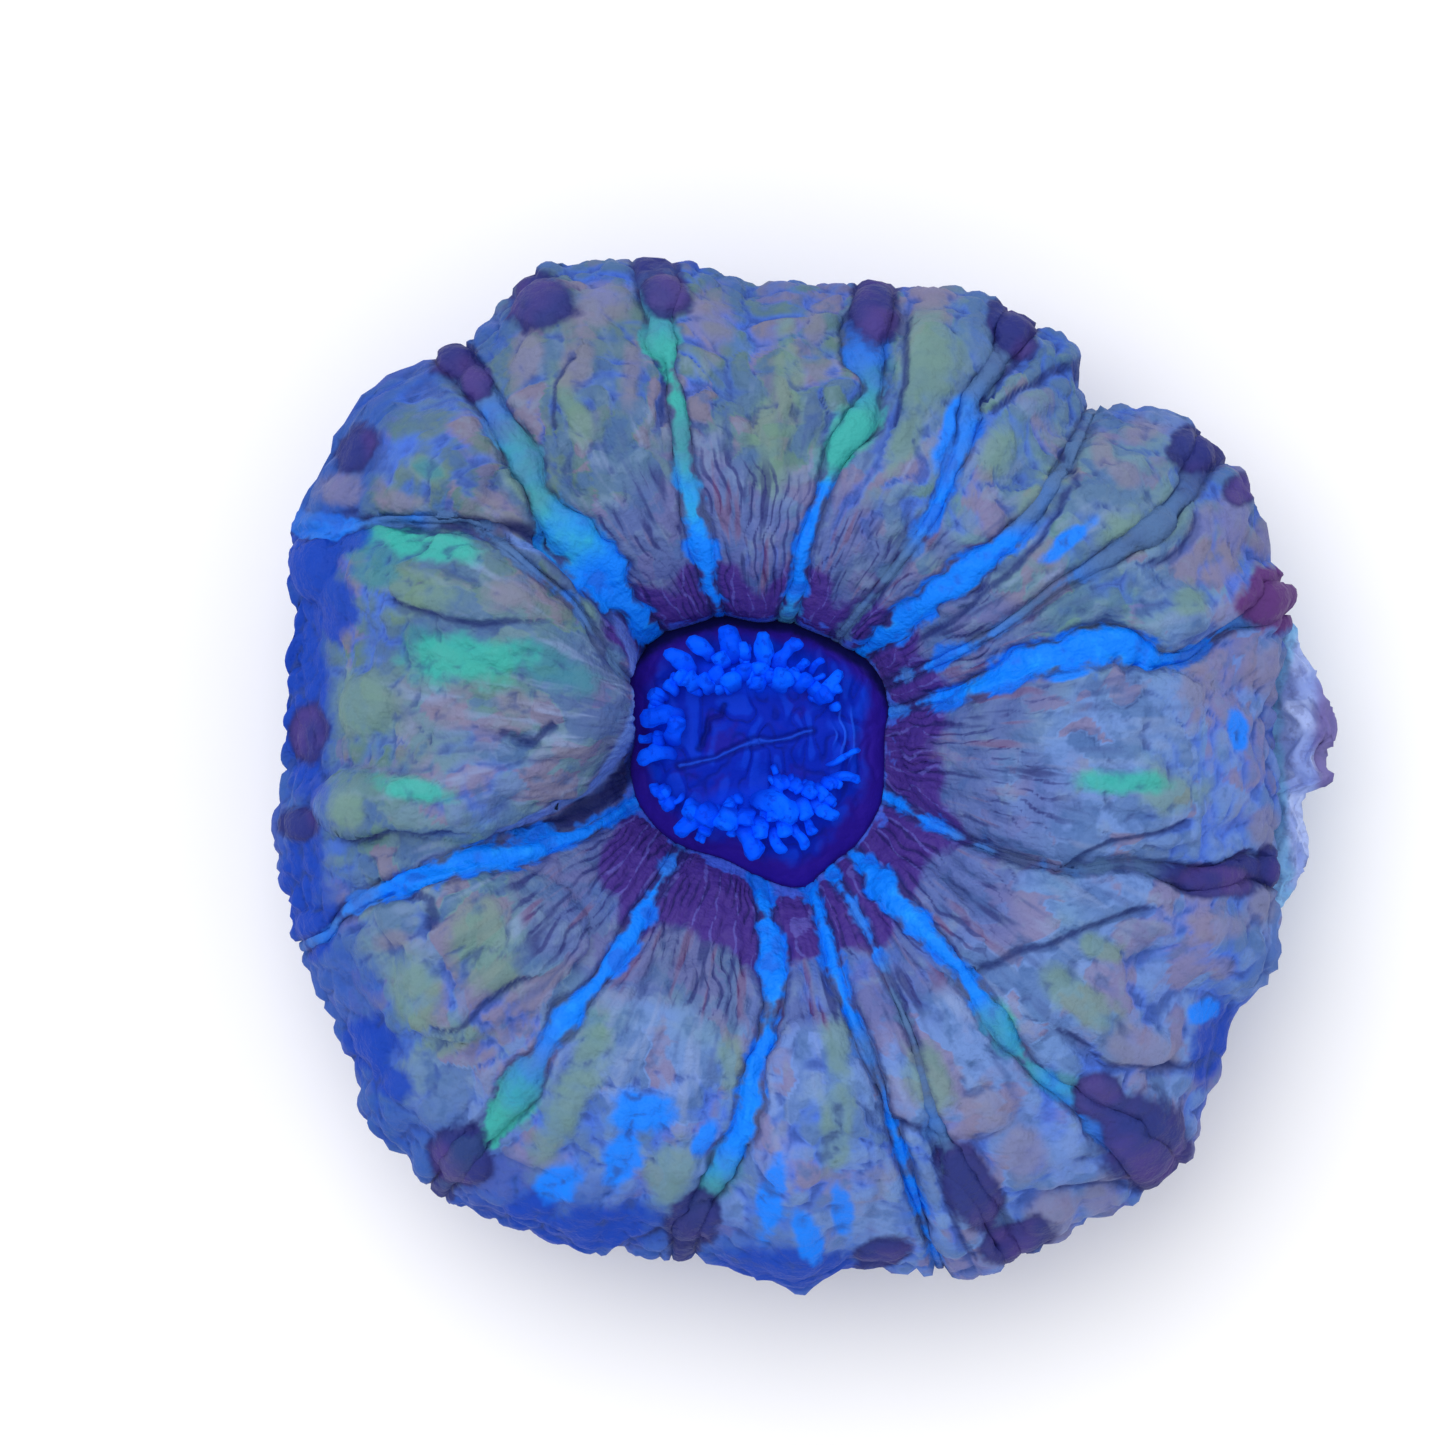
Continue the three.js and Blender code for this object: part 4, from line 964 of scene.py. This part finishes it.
def skeleton_surface(sizes, columns=720, rows=120):
    """Angle and share of the way along the profile to a point. Ribs are |cos| ridges, every second one
    lower, with toothed crests; the bare rim is broken into faceted lumps; granules are small domes."""
    angle = np.arange(columns) / columns * TURN + np.zeros((rows, 1))
    keys = skeleton_profile(angle[0], sizes)
    radii, heights = (np.stack([key[k] + 0 * angle[0] for key in keys]) for k in (0, 1))
    spans = [22, 22, 18, 8, 8, 14, 19]  # how the rows are shared out between the keys
    places = np.append(0, np.cumsum(spans)) / sum(spans)
    t = np.linspace(0, 1, rows)
    i = np.clip(np.searchsorted(places, t) - 1, 0, len(places) - 2)
    u = ((t - places[i]) / (places[i + 1] - places[i]))[:, None]
    radius = radii[i] * (1 - u) + radii[i + 1] * u
    height = heights[i] * (1 - u) + heights[i + 1] * u
    for _ in range(3):
        radius[1:-1] = (radius[:-2] + 2 * radius[1:-1] + radius[2:]) / 4
        height[1:-1] = (height[:-2] + 2 * height[1:-1] + height[2:]) / 4
    points = polar(radius, angle, height)
    normal = surface_normals(points)
    share = t[:, None] + 0 * angle
    bare = bareness(angle)
    rib = np.abs(np.cos(RIB_TURNS * angle)) ** 0.8
    minor = np.abs(np.sin(RIB_TURNS * angle)) ** 6 * 0.5
    grown = smooth(0.02, 0.5, share) * (1 - smooth(0.8, 0.98, share))
    arc = polar(45, angle, 60 * share)
    teeth = 0.35 * soft_noise(arc / [0.8, 0.8, 1.3], 61) * smooth(0.5, 0.9, rib)
    ribs = (0.9 * (np.maximum(rib, minor) - 0.6) + teeth) * grown * (1 - 0.5 * bare)
    near, _, _, _ = cells(arc / 1.4, 60)
    granules = 0.16 * np.sqrt(np.clip(1 - (near / 0.6) ** 2, 0, 1))
    rim_zone = bell(share - 0.66, 0.16)
    _, gap, pick, _ = cells(arc / [2.6, 2.6, 5.0], 90)
    lumps = bare * rim_zone * (1.5 * np.minimum(1.6 * gap, 1) - 0.8 + 0.7 * pick)
    points = points + normal * (ribs + granules * smooth(0, 0.03, share) + lumps)[..., None]
    points[..., 2] = np.maximum(points[..., 2], 0)
    outward = radius - rim_radius(angle)
    return points, {"rib": np.maximum(rib, minor), "rise": share, "lump": pick, "outward": outward}


# Finishes

# What each finish reads from its piece's vertices.
LOBE_MASKS = (
    "reach", "inner", "warm", "shore", "tint", "hollow", "wrinkle", "pleat", "fold_line", "moat", "foot",
    "crease_shadow", "crest", "edge", "ribbon_azure", "ribbon_mint", "ribbon_plum", *TISSUE_CELLS,
)
DISC_MASKS = ("edge", "gap", "bed", "stripe", "ripple", "slit", "fold_line")
SKELETON_MASKS = ("rise", "rib", "lump", "outward")


def from_hex(text):
    """A colour written as sRGB hex, as linear red, green, blue and alpha."""
    channels = [int(text.lstrip("#")[k : k + 2], 16) / 255 for k in (0, 2, 4)]
    linear = [c / 12.92 if c <= 0.04045 else ((c + 0.055) / 1.055) ** 2.4 for c in channels]
    return (*linear, 1.0)


def add_node(tree, kind, inputs=None, output=None, **settings):
    """Adds a node, sets its properties, then its inputs, each given by name or number as another
    node's output, a hex colour or a value. Returns the named output, or the first one in use."""
    node = tree.nodes.new(kind)
    for key, value in settings.items():
        setattr(node, key, value)
    for key, value in (inputs or {}).items():
        if isinstance(value, bpy.types.NodeSocket):
            tree.links.new(value, node.inputs[key])
        else:
            node.inputs[key].default_value = from_hex(value) if isinstance(value, str) else value
    if output:
        return node.outputs[output]
    return next((socket for socket in node.outputs if socket.enabled), None)


def lay(tree, under, over, mask, low, high, amount=1.0, rough=None, spread=0.5):
    """Lays one colour over another where a mask climbs from low to high, or falls to high where high
    is the lower. rough is a cloudy noise that frays the edge by up to half of spread either way."""
    if rough is not None:
        centred = add_node(tree, "ShaderNodeMath", {0: rough, 1: spread, 2: -spread / 2},
                           operation="MULTIPLY_ADD")
        mask = add_node(tree, "ShaderNodeMath", {0: mask, 1: centred}, operation="ADD")
    factor = add_node(tree, "ShaderNodeMapRange", {
        "Value": mask, "From Min": low, "From Max": high, "To Max": amount}, interpolation_type="SMOOTHSTEP")
    return add_node(tree, "ShaderNodeMix", {0: factor, 6: under, 7: over}, data_type="RGBA")


def lay_all(tree, colour, layers):
    """Lays several colours on one another in turn, each given as lay() takes it."""
    for over, *how in layers:
        colour = lay(tree, colour, over, *how)
    return colour


def finish(name, build, settings):
    """A material whose node tree build() fills. build returns its Principled BSDF's inputs."""
    material = bpy.data.materials.new(name)
    material.use_nodes = True
    tree = material.node_tree
    tree.nodes.clear()
    shader = add_node(tree, "ShaderNodeBsdfPrincipled", build(tree, settings))
    add_node(tree, "ShaderNodeOutputMaterial", {"Surface": shader})
    return material


def inflated_tissue(tree, settings):
    """Coral tissue swollen with water, wrinkled at the mouth and cobbled at the rim: soft and matt,
    moist but with no clear gloss. A faint glow in its own colour is painted light that softens its shadows."""
    mask = {
        name: add_node(tree, "ShaderNodeAttribute", output="Fac", attribute_name=name)
        for name in LOBE_MASKS}
    grain = add_node(tree, "ShaderNodeAttribute", output="Vector", attribute_name="grain")
    place = add_node(tree, "ShaderNodeTexCoord", output="Object")
    combed = add_node(tree, "ShaderNodeVectorMath", {0: grain, 1: (1, 1, 0.14)}, operation="MULTIPLY")
    drift, cloud, mottle, fine, streak = (
        add_node(tree, "ShaderNodeTexNoise", {
            "Vector": vector, "Scale": 0.5 / size, "Detail": detail, "Roughness": 0.55})
        for vector, size, detail in (
            (grain, 8.0, 1), (place, 4.4 * MM, 2), (place, 1.7 * MM, 3), (place, 0.5 * MM, 2),
            (combed, 0.6, 2)))

    # slate, mauve and olive drift into each other, and each cobble has its own tint
    colour = lay_all(tree, settings.slate, [
        ("#5f78ae", drift, 0.46, 0.6, 0.9, mottle, 0.4),
        ("#567f80", cloud, 0.47, 0.64, 0.8, mottle, 0.4),
        ("#6484cc", mask["warm"], 0.45, 0.15, 0.75, cloud, 0.7),
        ("#4b6762", mask["warm"], 0.6, 0.95, 0.7, cloud, 0.7),
        ("#426296", mask["tint"], 0.5, 0.3, 0.6, mottle, 0.4),
        ("#776a8c", mask["tint"], 0.54, 0.76, 0.7, mottle, 0.5),
        ("#4f5c9c", mask["inner"], 0.1, 0.9, 0.7, mottle, 0.5),
        ("#3c3f88", mask["foot"], 9.0, 3.0, 0.5, cloud, 6.0),
        ("#7690ac", mottle, 0.54, 0.7, 0.4),
        ("#385a94", mottle, 0.46, 0.34, 0.5),
    ])

    # pale and dark streaks that run down to the mouth, weaker on the outer slope
    streaked = lay_all(tree, colour, [
        ("#8094c0", streak, 0.54, 0.7, 0.5),
        ("#3a4f88", streak, 0.46, 0.32, 0.55),
    ])
    colour = lay(tree, streaked, colour, mask["reach"], 0.45, 0.9, 0.8, cloud, 0.5)

    # blue film in patches of the outer slope, a deep blue rim, cells of other colours, azure floods
    filmed = lay(tree, colour, settings.film, mask["hollow"], -0.3, 1.3, 0.85, cloud, 3.4)
    colour = lay_all(tree, colour, [
        (filmed, mask["reach"], 0.35, 0.75, 1.0, drift, 2.2),
        ("#1a48a8", mask["shore"], 0.1, 0.75, 0.75, mottle, 1.1),
        ("#1a3c9c", mask["reach"], 1.0, 1.25, 0.85, cloud, 0.8),
    ])
    for name, amount in (("olive", 0.65), ("tan", 0.6), ("teal", 0.75), ("mint", 0.85)):
        colour = lay(tree, colour, getattr(settings, name), mask[name], -0.3, 0.45, amount, mottle, 1.6)
    colour = lay_all(tree, colour, [
        ("#0c3ba8", mask["cobalt"], -0.35, 0.3, 0.92, mottle, 1.6),
        (settings.azure, mask["azure"], -0.25, 0.35, 0.92, mottle, 1.8),
    ])

    # painted shade: dark in the hollows, in the troughs of the wrinkles and along the sharp folds, with
    # maroon and dark streaks among the wrinkles
    colour = lay(tree, colour, "#2e437c", mask["hollow"], 0.2, 1.1, 0.6, fine, 0.8)
    wrinkled = lay_all(tree, colour, [
        ("#262c6c", mask["wrinkle"], -0.3, -0.9, 0.75, fine, 0.9),
        ("#5a2a5c", streak, 0.56, 0.68, 0.6),
        ("#262a68", streak, 0.42, 0.32, 0.6),
    ])
    colour = lay_all(tree, colour, [
        (wrinkled, mask["inner"], 0.1, 0.7, 1.0, cloud, 0.5),
        ("#1e2c68", mask["fold_line"], 0.55, 0.1, 0.75, fine, 0.5),
    ])

    # the maroon inner wall, with painted shade in the troughs of its wrinkles and painted highlights on the
    # crests of its pleats, and a blue hem at its foot
    walled = lay_all(tree, settings.maroon, [
        ("#231d60", mask["wrinkle"], -0.3, -0.9, 0.85, fine, 1.0),
        ("#5a5ab0", mask["pleat"], 0.86, 1.0, 0.6, fine, 0.5),
    ])
    colour = lay_all(tree, colour, [
        (walled, mask["moat"], -0.8, 0.8, 0.95, mottle, 5.0),
        ("#3f6be0", mask["foot"], 0.7, 0.3, 0.7, mottle, 5.0),
    ])

    # painted shadow in the crease beside the left lobe, and a painted highlight along its crest
    colour = lay_all(tree, colour, [
        ("#101850", mask["crease_shadow"], 0.3, 0.9, 0.9, mottle, 0.6),
        ("#5f86dc", mask["crest"], 0.4, 0.9, 0.6, mottle, 0.8),
    ])

    # the ribbon of a band, whose edge wanders, and painted shade in the crease beside it
    band_edge_shade = lay(tree, colour, "#1e2a68", mask["edge"], 0.7, 0.1, 0.6, fine, 0.8)
    azure = lay_all(tree, settings.azure, [
        ("#24a4f4", mottle, 0.54, 0.7, 0.35),
        ("#1c58c8", mottle, 0.46, 0.34, 0.6),
    ])
    ribbon = lay_all(tree, "#4a6a98", [
        (azure, mask["ribbon_azure"], 0.1, 0.8, 1.0, cloud, 1.3),
        (settings.mint, mask["ribbon_mint"], 0.1, 0.9, 0.85, mottle, 0.8),
        (settings.plum, mask["ribbon_plum"], 0.1, 0.9, 1.0, mottle, 0.6),
    ])
    colour = lay(tree, band_edge_shade, ribbon, mask["edge"], 0.4, -0.35, 1.0, mottle, 4.2)

    # smooth dark cells; the plum ones with painted shade round the edges of their domes
    plum = lay(tree, settings.plum, "#43347a", cloud, 0.42, 0.6)
    plum = lay(tree, "#1d2260", plum, mask["plum"], -0.1, 0.45, 1.0, mottle, 0.6)
    for name, dark in (("plum", plum), ("maroon", "#54296e")):
        colour = lay(tree, colour, dark, mask[name], -0.15, 0.2, 0.94, mottle, 1.1)

    pebbles = add_node(tree, "ShaderNodeTexVoronoi", {
        "Vector": add_node(tree, "ShaderNodeVectorMath", {0: mottle, 1: (0.0014,) * 3, 2: place},
                           operation="MULTIPLY_ADD"),
        "Scale": 0.5 / MM})
    heights = add_node(tree, "ShaderNodeMath", {0: mottle, 1: 1.4, 2: fine}, operation="MULTIPLY_ADD")
    heights = add_node(tree, "ShaderNodeMath", {0: streak, 1: 0.8, 2: heights}, operation="MULTIPLY_ADD")
    heights = add_node(tree, "ShaderNodeMath", {0: pebbles, 1: -0.6, 2: heights}, operation="MULTIPLY_ADD")
    bump = add_node(tree, "ShaderNodeBump", {"Height": heights, "Strength": 0.75, "Distance": 0.5 * MM})
    # the glow is painted light: emission in the tissue's own colour lifts its shadows
    return {"Base Color": colour, "Normal": bump, "Roughness": 0.55, "IOR": 1.38, "Specular IOR Level": 0.2,
            "Emission Color": colour, "Emission Strength": 0.07}


def disc_tissue(tree, settings):
    """The bare tissue of the mouth's disc: thin, smooth and dark, violet at its edge and deep blue
    where the tentacles stand, with a satin wet surface."""
    mask = {
        name: add_node(tree, "ShaderNodeAttribute", output="Fac", attribute_name=name)
        for name in DISC_MASKS}
    place = add_node(tree, "ShaderNodeTexCoord", output="Object")
    blotch, fine = (
        add_node(tree, "ShaderNodeTexNoise", {
            "Vector": place, "Scale": 0.5 / size, "Detail": 3, "Roughness": 0.55})
        for size in (1.8 * MM, 0.4 * MM))
    colour = lay_all(tree, settings.disc, [
        ("#1c1a88", blotch, 0.5, 0.64, 0.8),
        ("#0a1a80", mask["stripe"], 0.14, 0.0, 0.7, fine, 0.2),
        ("#0c38c0", mask["stripe"], 0.3, 0.6, 0.6, fine, 0.3),
        ("#0432c4", mask["bed"], 0.0, 0.5, 0.85, blotch, 0.5),
        ("#1c50d6", mask["ripple"], 0.35, 0.8, 0.8),
        ("#251582", mask["edge"], 0.76, 0.92, 1.0, blotch, 0.3),
        # painted shadow of the overhanging inner wall at the disc's edge, widest at the top
        ("#0b0e3c", mask["gap"], 0.88, 0.96, 0.95, fine, 0.06),
        # painted shade in the fold's groove and in the groove along each side of the slit's raised line
        ("#0a1468", mask["fold_line"], 0.4, 0.05, 0.7, fine, 0.4),
        ("#0a1670", mask["slit"], 0.8, 0.3, 0.6, fine, 0.4),
        ("#1a48cc", mask["slit"], 0.24, 0.05, 0.7, fine, 0.3),
    ])
    bump = add_node(tree, "ShaderNodeBump", {"Height": fine, "Strength": 0.6, "Distance": 0.25 * MM})
    # the glow is painted light: emission in the disc's own colour lifts its shadows
    return {"Base Color": colour, "Normal": bump, "Roughness": 0.5, "IOR": 1.38, "Specular IOR Level": 0.04,
            "Emission Color": colour, "Emission Strength": 0.2}


def tentacle_tissue(tree, settings):
    """Small swollen tentacles: brilliant blue, a little darker at their roots, soft satin."""
    tone, along = (
        add_node(tree, "ShaderNodeAttribute", output="Fac", attribute_name=name)
        for name in ("tone", "along"))
    place = add_node(tree, "ShaderNodeTexCoord", output="Object")
    fine = add_node(tree, "ShaderNodeTexNoise", {
        "Vector": place, "Scale": 0.5 / (0.4 * MM), "Detail": 3, "Roughness": 0.55})
    colour = lay_all(tree, settings.tentacles, [
        ("#0458f0", tone, 0.0, 1.0),
        ("#0230ba", fine, 0.5, 0.68, 0.7),
        ("#0526b0", along, 0.5, 0.0, 0.8),
    ])
    bump = add_node(tree, "ShaderNodeBump", {"Height": fine, "Strength": 0.6, "Distance": 0.25 * MM})
    # the glow is painted light: emission in the tentacles' own colour lifts their shadows
    return {"Base Color": colour, "Normal": bump, "Roughness": 0.5, "IOR": 1.38, "Specular IOR Level": 0.04,
            "Emission Color": colour, "Emission Strength": 0.25}


def coral_limestone(tree, settings):
    """The skeleton: porous aragonite limestone, chalky and matt, under a thin lavender film of tissue
    on its living rim, greyer and stained low down."""
    mask = {
        name: add_node(tree, "ShaderNodeAttribute", output="Fac", attribute_name=name)
        for name in SKELETON_MASKS}
    place = add_node(tree, "ShaderNodeTexCoord", output="Object")
    blotch, pores = (
        add_node(tree, "ShaderNodeTexNoise", {
            "Vector": place, "Scale": 0.5 / size, "Detail": 4, "Roughness": 0.55})
        for size in (3.0 * MM, 0.6 * MM))
    film = lay_all(tree, settings.skeleton, [
        ("#7a90d2", blotch, 0.42, 0.6),
        ("#aabcec", mask["lump"], 0.3, 0.8, 0.8),
        ("#5f4f92", mask["outward"], 3.4, 5.0, 0.85, blotch, 2.0),
        ("#5fa6d8", mask["outward"], 1.4, 0.4, 0.7, blotch, 1.6),
    ])
    dead = lay(tree, "#a5a3b4", "#8a8ba6", blotch, 0.4, 0.6)
    colour = lay_all(tree, dead, [
        (film, mask["rise"], 0.1, 0.5, 1.0, blotch, 0.3),
        # painted shade in the grooves between the ribs
        ("#4a4d86", mask["rib"], 0.5, 0.1, 0.4),
        ("#50548a", pores, 0.5, 0.36, 0.35),
    ])
    bump = add_node(tree, "ShaderNodeBump", {"Height": pores, "Strength": 0.8, "Distance": 0.4 * MM})
    # the glow is painted light: emission in the stone's own colour lifts its shadows
    return {"Base Color": colour, "Normal": bump, "Roughness": 0.85, "IOR": 1.5,
            "Emission Color": colour, "Emission Strength": 0.1}


def studio_floor(tree, settings):
    """A matt painted studio floor, so pale that it reads as white."""
    return {"Base Color": "#fafafc", "Roughness": 0.9}


# The tool panel


def length(name, description, default_mm, low=0.0, high=200.0):
    """A length that the panel shows, kept in metres."""
    return bpy.props.FloatProperty(name=name, description=description, default=default_mm * MM,
                                   min=low * MM, max=high * MM, unit="LENGTH", precision=4)


def shade(name, description, default):
    """A colour that the panel shows."""
    return bpy.props.FloatVectorProperty(name=name, description=description, default=from_hex(default),
                                         size=4, min=0, max=1, subtype="COLOR")


class CoralSettings(bpy.types.PropertyGroup):
    crest_height: length("Crest height", "Top of the ring of lobes above the cut", 36.5)
    disc_height: length("Disc height", "The mouth's disc above the cut", 26.6)
    rim_height: length("Rim height", "The widest line of the flesh above the cut", 20.5)
    skirt_height: length("Skirt height", "Where the flesh ends on the skeleton's wall", 11.5)
    cup_height: length("Cup height", "The skeleton's rim above the cut", 18.0)
    base_radius: length("Base radius", "Radius of the flat cut", 27.0)
    wrinkle_depth: length("Wrinkle depth", "Depth of the fine folds near the mouth", 0.55, 0, 3)
    cobble_height: length("Cobble height", "How far the cobbles of the outer slope stand out", 1.3, 0, 4)
    tentacle_width: length("Tentacle width", "Width of a middling tentacle", MIDDLING_TENTACLE, 0.5, 4)
    slate: shade("Slate", "The lobes' ground colour", "#5f7e93")
    olive: shade("Olive", "Olive cells of the lobes", "#66877a")
    tan: shade("Tan", "Tan cells of the rim", "#78728c")
    mint: shade("Mint", "Bright green of bands and cells", "#32a49c")
    teal: shade("Teal", "Dark green cells", "#34788c")
    azure: shade("Azure", "Bright blue of the bands", "#0778f0")
    film: shade("Film", "Blue film in the furrows", "#3f6ad8")
    plum: shade("Plum", "Dark cells at the ends of the bands", "#252c72")
    maroon: shade("Maroon", "The wall round the disc", "#402a80")
    disc: shade("Disc", "The bare disc", "#0822a0")
    tentacles: shade("Tentacles", "The tentacles", "#0244e2")
    skeleton: shade("Skeleton", "The skeleton's living rim", "#8ea2dc")
    camera_height: bpy.props.FloatProperty(
        name="Camera height", description="Height of the camera above the floor",
        default=1.2, min=0.2, max=3, unit="LENGTH")
    key_light: bpy.props.FloatProperty(
        name="Key light", description="Strength of the soft light from the upper left", default=1.25, min=0)
    fill_light: bpy.props.FloatProperty(
        name="Fill light", description="Strength of the even light all round", default=0.87, min=0)


SIZES = ("crest_height", "disc_height", "rim_height", "skirt_height", "cup_height", "base_radius",
         "wrinkle_depth", "cobble_height", "tentacle_width")


def sizes_in_mm(settings):
    return {name: getattr(settings, name) / MM for name in SIZES}


class CORAL_OT_lobes(bpy.types.Operator):
    """Add the ring of inflated lobes and bands"""
    bl_idname = "coral.lobes"
    bl_label = "Lobes"

    def execute(self, context):
        settings = context.scene.coral
        points, masks = lobe_surface(sizes_in_mm(settings))
        piece = grid_mesh("lobes", points, ring=True)
        paint(piece, masks)
        place_piece(piece, finish("inflated coral tissue", inflated_tissue, settings), "polyp")
        return {"FINISHED"}


class CORAL_OT_disc(bpy.types.Operator):
    """Add the sunken disc and the mouth"""
    bl_idname = "coral.disc"
    bl_label = "Disc and mouth"

    def execute(self, context):
        settings = context.scene.coral
        points, masks = disc_surface(sizes_in_mm(settings))
        middle = points[0].mean(axis=0)
        piece = grid_mesh("oral_disc", disc_bottom(points), caps=[middle, (0, 0, DISC_UNDERSIDE)])
        paint(piece, masks)
        place_piece(piece, finish("oral disc tissue", disc_tissue, settings))
        return {"FINISHED"}


class CORAL_OT_tentacles(bpy.types.Operator):
    """Add the short tentacles of the disc"""
    bl_idname = "coral.tentacles"
    bl_label = "Tentacles"

    def execute(self, context):
        settings = context.scene.coral
        points, masks = tentacle_surfaces(sizes_in_mm(settings))
        faces = tube_faces(*points.shape[:3])
        piece = mesh_object("tentacles", points.reshape(-1, 3), faces.ravel(), np.full(len(faces), 4))
        paint(piece, masks)
        place_piece(piece, finish("tentacle tissue", tentacle_tissue, settings))
        return {"FINISHED"}


class CORAL_OT_skeleton(bpy.types.Operator):
    """Add the ribbed skeleton"""
    bl_idname = "coral.skeleton"
    bl_label = "Skeleton"

    def execute(self, context):
        settings = context.scene.coral
        points, masks = skeleton_surface(sizes_in_mm(settings))
        piece = grid_mesh("corallum", points[::-1], caps=[(0, 0, 11), (0, 0, 0)])
        paint(piece, {name: values[::-1] for name, values in masks.items()})
        place_piece(piece, finish("coral limestone", coral_limestone, settings), "skeleton")
        return {"FINISHED"}


class CORAL_OT_stage(bpy.types.Operator):
    """Add the floor, the lights and the camera"""
    bl_idname = "coral.stage"
    bl_label = "Stage"

    def execute(self, context):
        scene, settings = context.scene, context.scene.coral
        half = 4.0
        corners = np.array([(-half, -half, 0), (half, -half, 0), (half, half, 0), (-half, half, 0)]) / MM
        floor = mesh_object("floor", corners, np.arange(4), np.array([4]))
        floor.data.materials.append(finish("matt studio floor", studio_floor, settings))
        lamp = bpy.data.lights.new("key", "SUN")
        lamp.energy, lamp.angle = settings.key_light, math.radians(50)
        key = bpy.data.objects.new("key", lamp)
        key.location = (-0.24, 0.36, 0.85)
        key.rotation_euler = (-key.location).to_track_quat("-Z", "Y").to_euler()
        bpy.context.collection.objects.link(key)
        world = bpy.data.worlds.new("studio")
        world.use_nodes = True
        backdrop = world.node_tree.nodes["Background"]
        backdrop.inputs["Color"].default_value = from_hex("#ffffff")
        backdrop.inputs["Strength"].default_value = settings.fill_light
        scene.world = world
        scene.view_settings.view_transform = "Standard"
        self.add_camera(scene, settings)
        return {"FINISHED"}

    def add_camera(self, scene, settings):
        """Looks straight down. The frame's middle is so far from the mouth as in the photograph, and
        the lens shows as many millimetres at the lobes' height as the photograph is wide."""
        lens = bpy.data.cameras.new("camera")
        camera = bpy.data.objects.new("camera", lens)
        middle = PHOTO_PIXELS / 2
        camera.location = ((middle - MOUTH_PIXEL[0]) * PIXEL_MM * MM,
                           (MOUTH_PIXEL[1] - middle) * PIXEL_MM * MM, settings.camera_height)
        across = PHOTO_PIXELS * PIXEL_MM * MM
        lens.angle = 2 * math.atan(across / 2 / (settings.camera_height - settings.disc_height))
        bpy.context.collection.objects.link(camera)
        scene.camera = camera


class CORAL_PT_panel(bpy.types.Panel):
    """Lists the settings and the pieces"""
    bl_label = "Button coral"
    bl_idname = "CORAL_PT_panel"
    bl_space_type = "VIEW_3D"
    bl_region_type = "UI"
    bl_category = "Coral"

    def draw(self, context):
        for name in CoralSettings.__annotations__:
            self.layout.prop(context.scene.coral, name)
        for operator in OPERATORS:
            self.layout.operator(operator.bl_idname)


OPERATORS = (CORAL_OT_stage, CORAL_OT_skeleton, CORAL_OT_lobes, CORAL_OT_disc, CORAL_OT_tentacles)
CLASSES = (CoralSettings, *OPERATORS, CORAL_PT_panel)


def register():
    for cls in CLASSES:
        bpy.utils.register_class(cls)
    bpy.types.Scene.coral = bpy.props.PointerProperty(type=CoralSettings)


def unregister():
    del bpy.types.Scene.coral
    for cls in reversed(CLASSES):
        bpy.utils.unregister_class(cls)


def main():
    register()
    bpy.ops.coral.stage()
    bpy.ops.coral.skeleton()
    bpy.ops.coral.lobes()
    bpy.ops.coral.disc()
    bpy.ops.coral.tentacles()


if __name__ == "__main__":
    main()
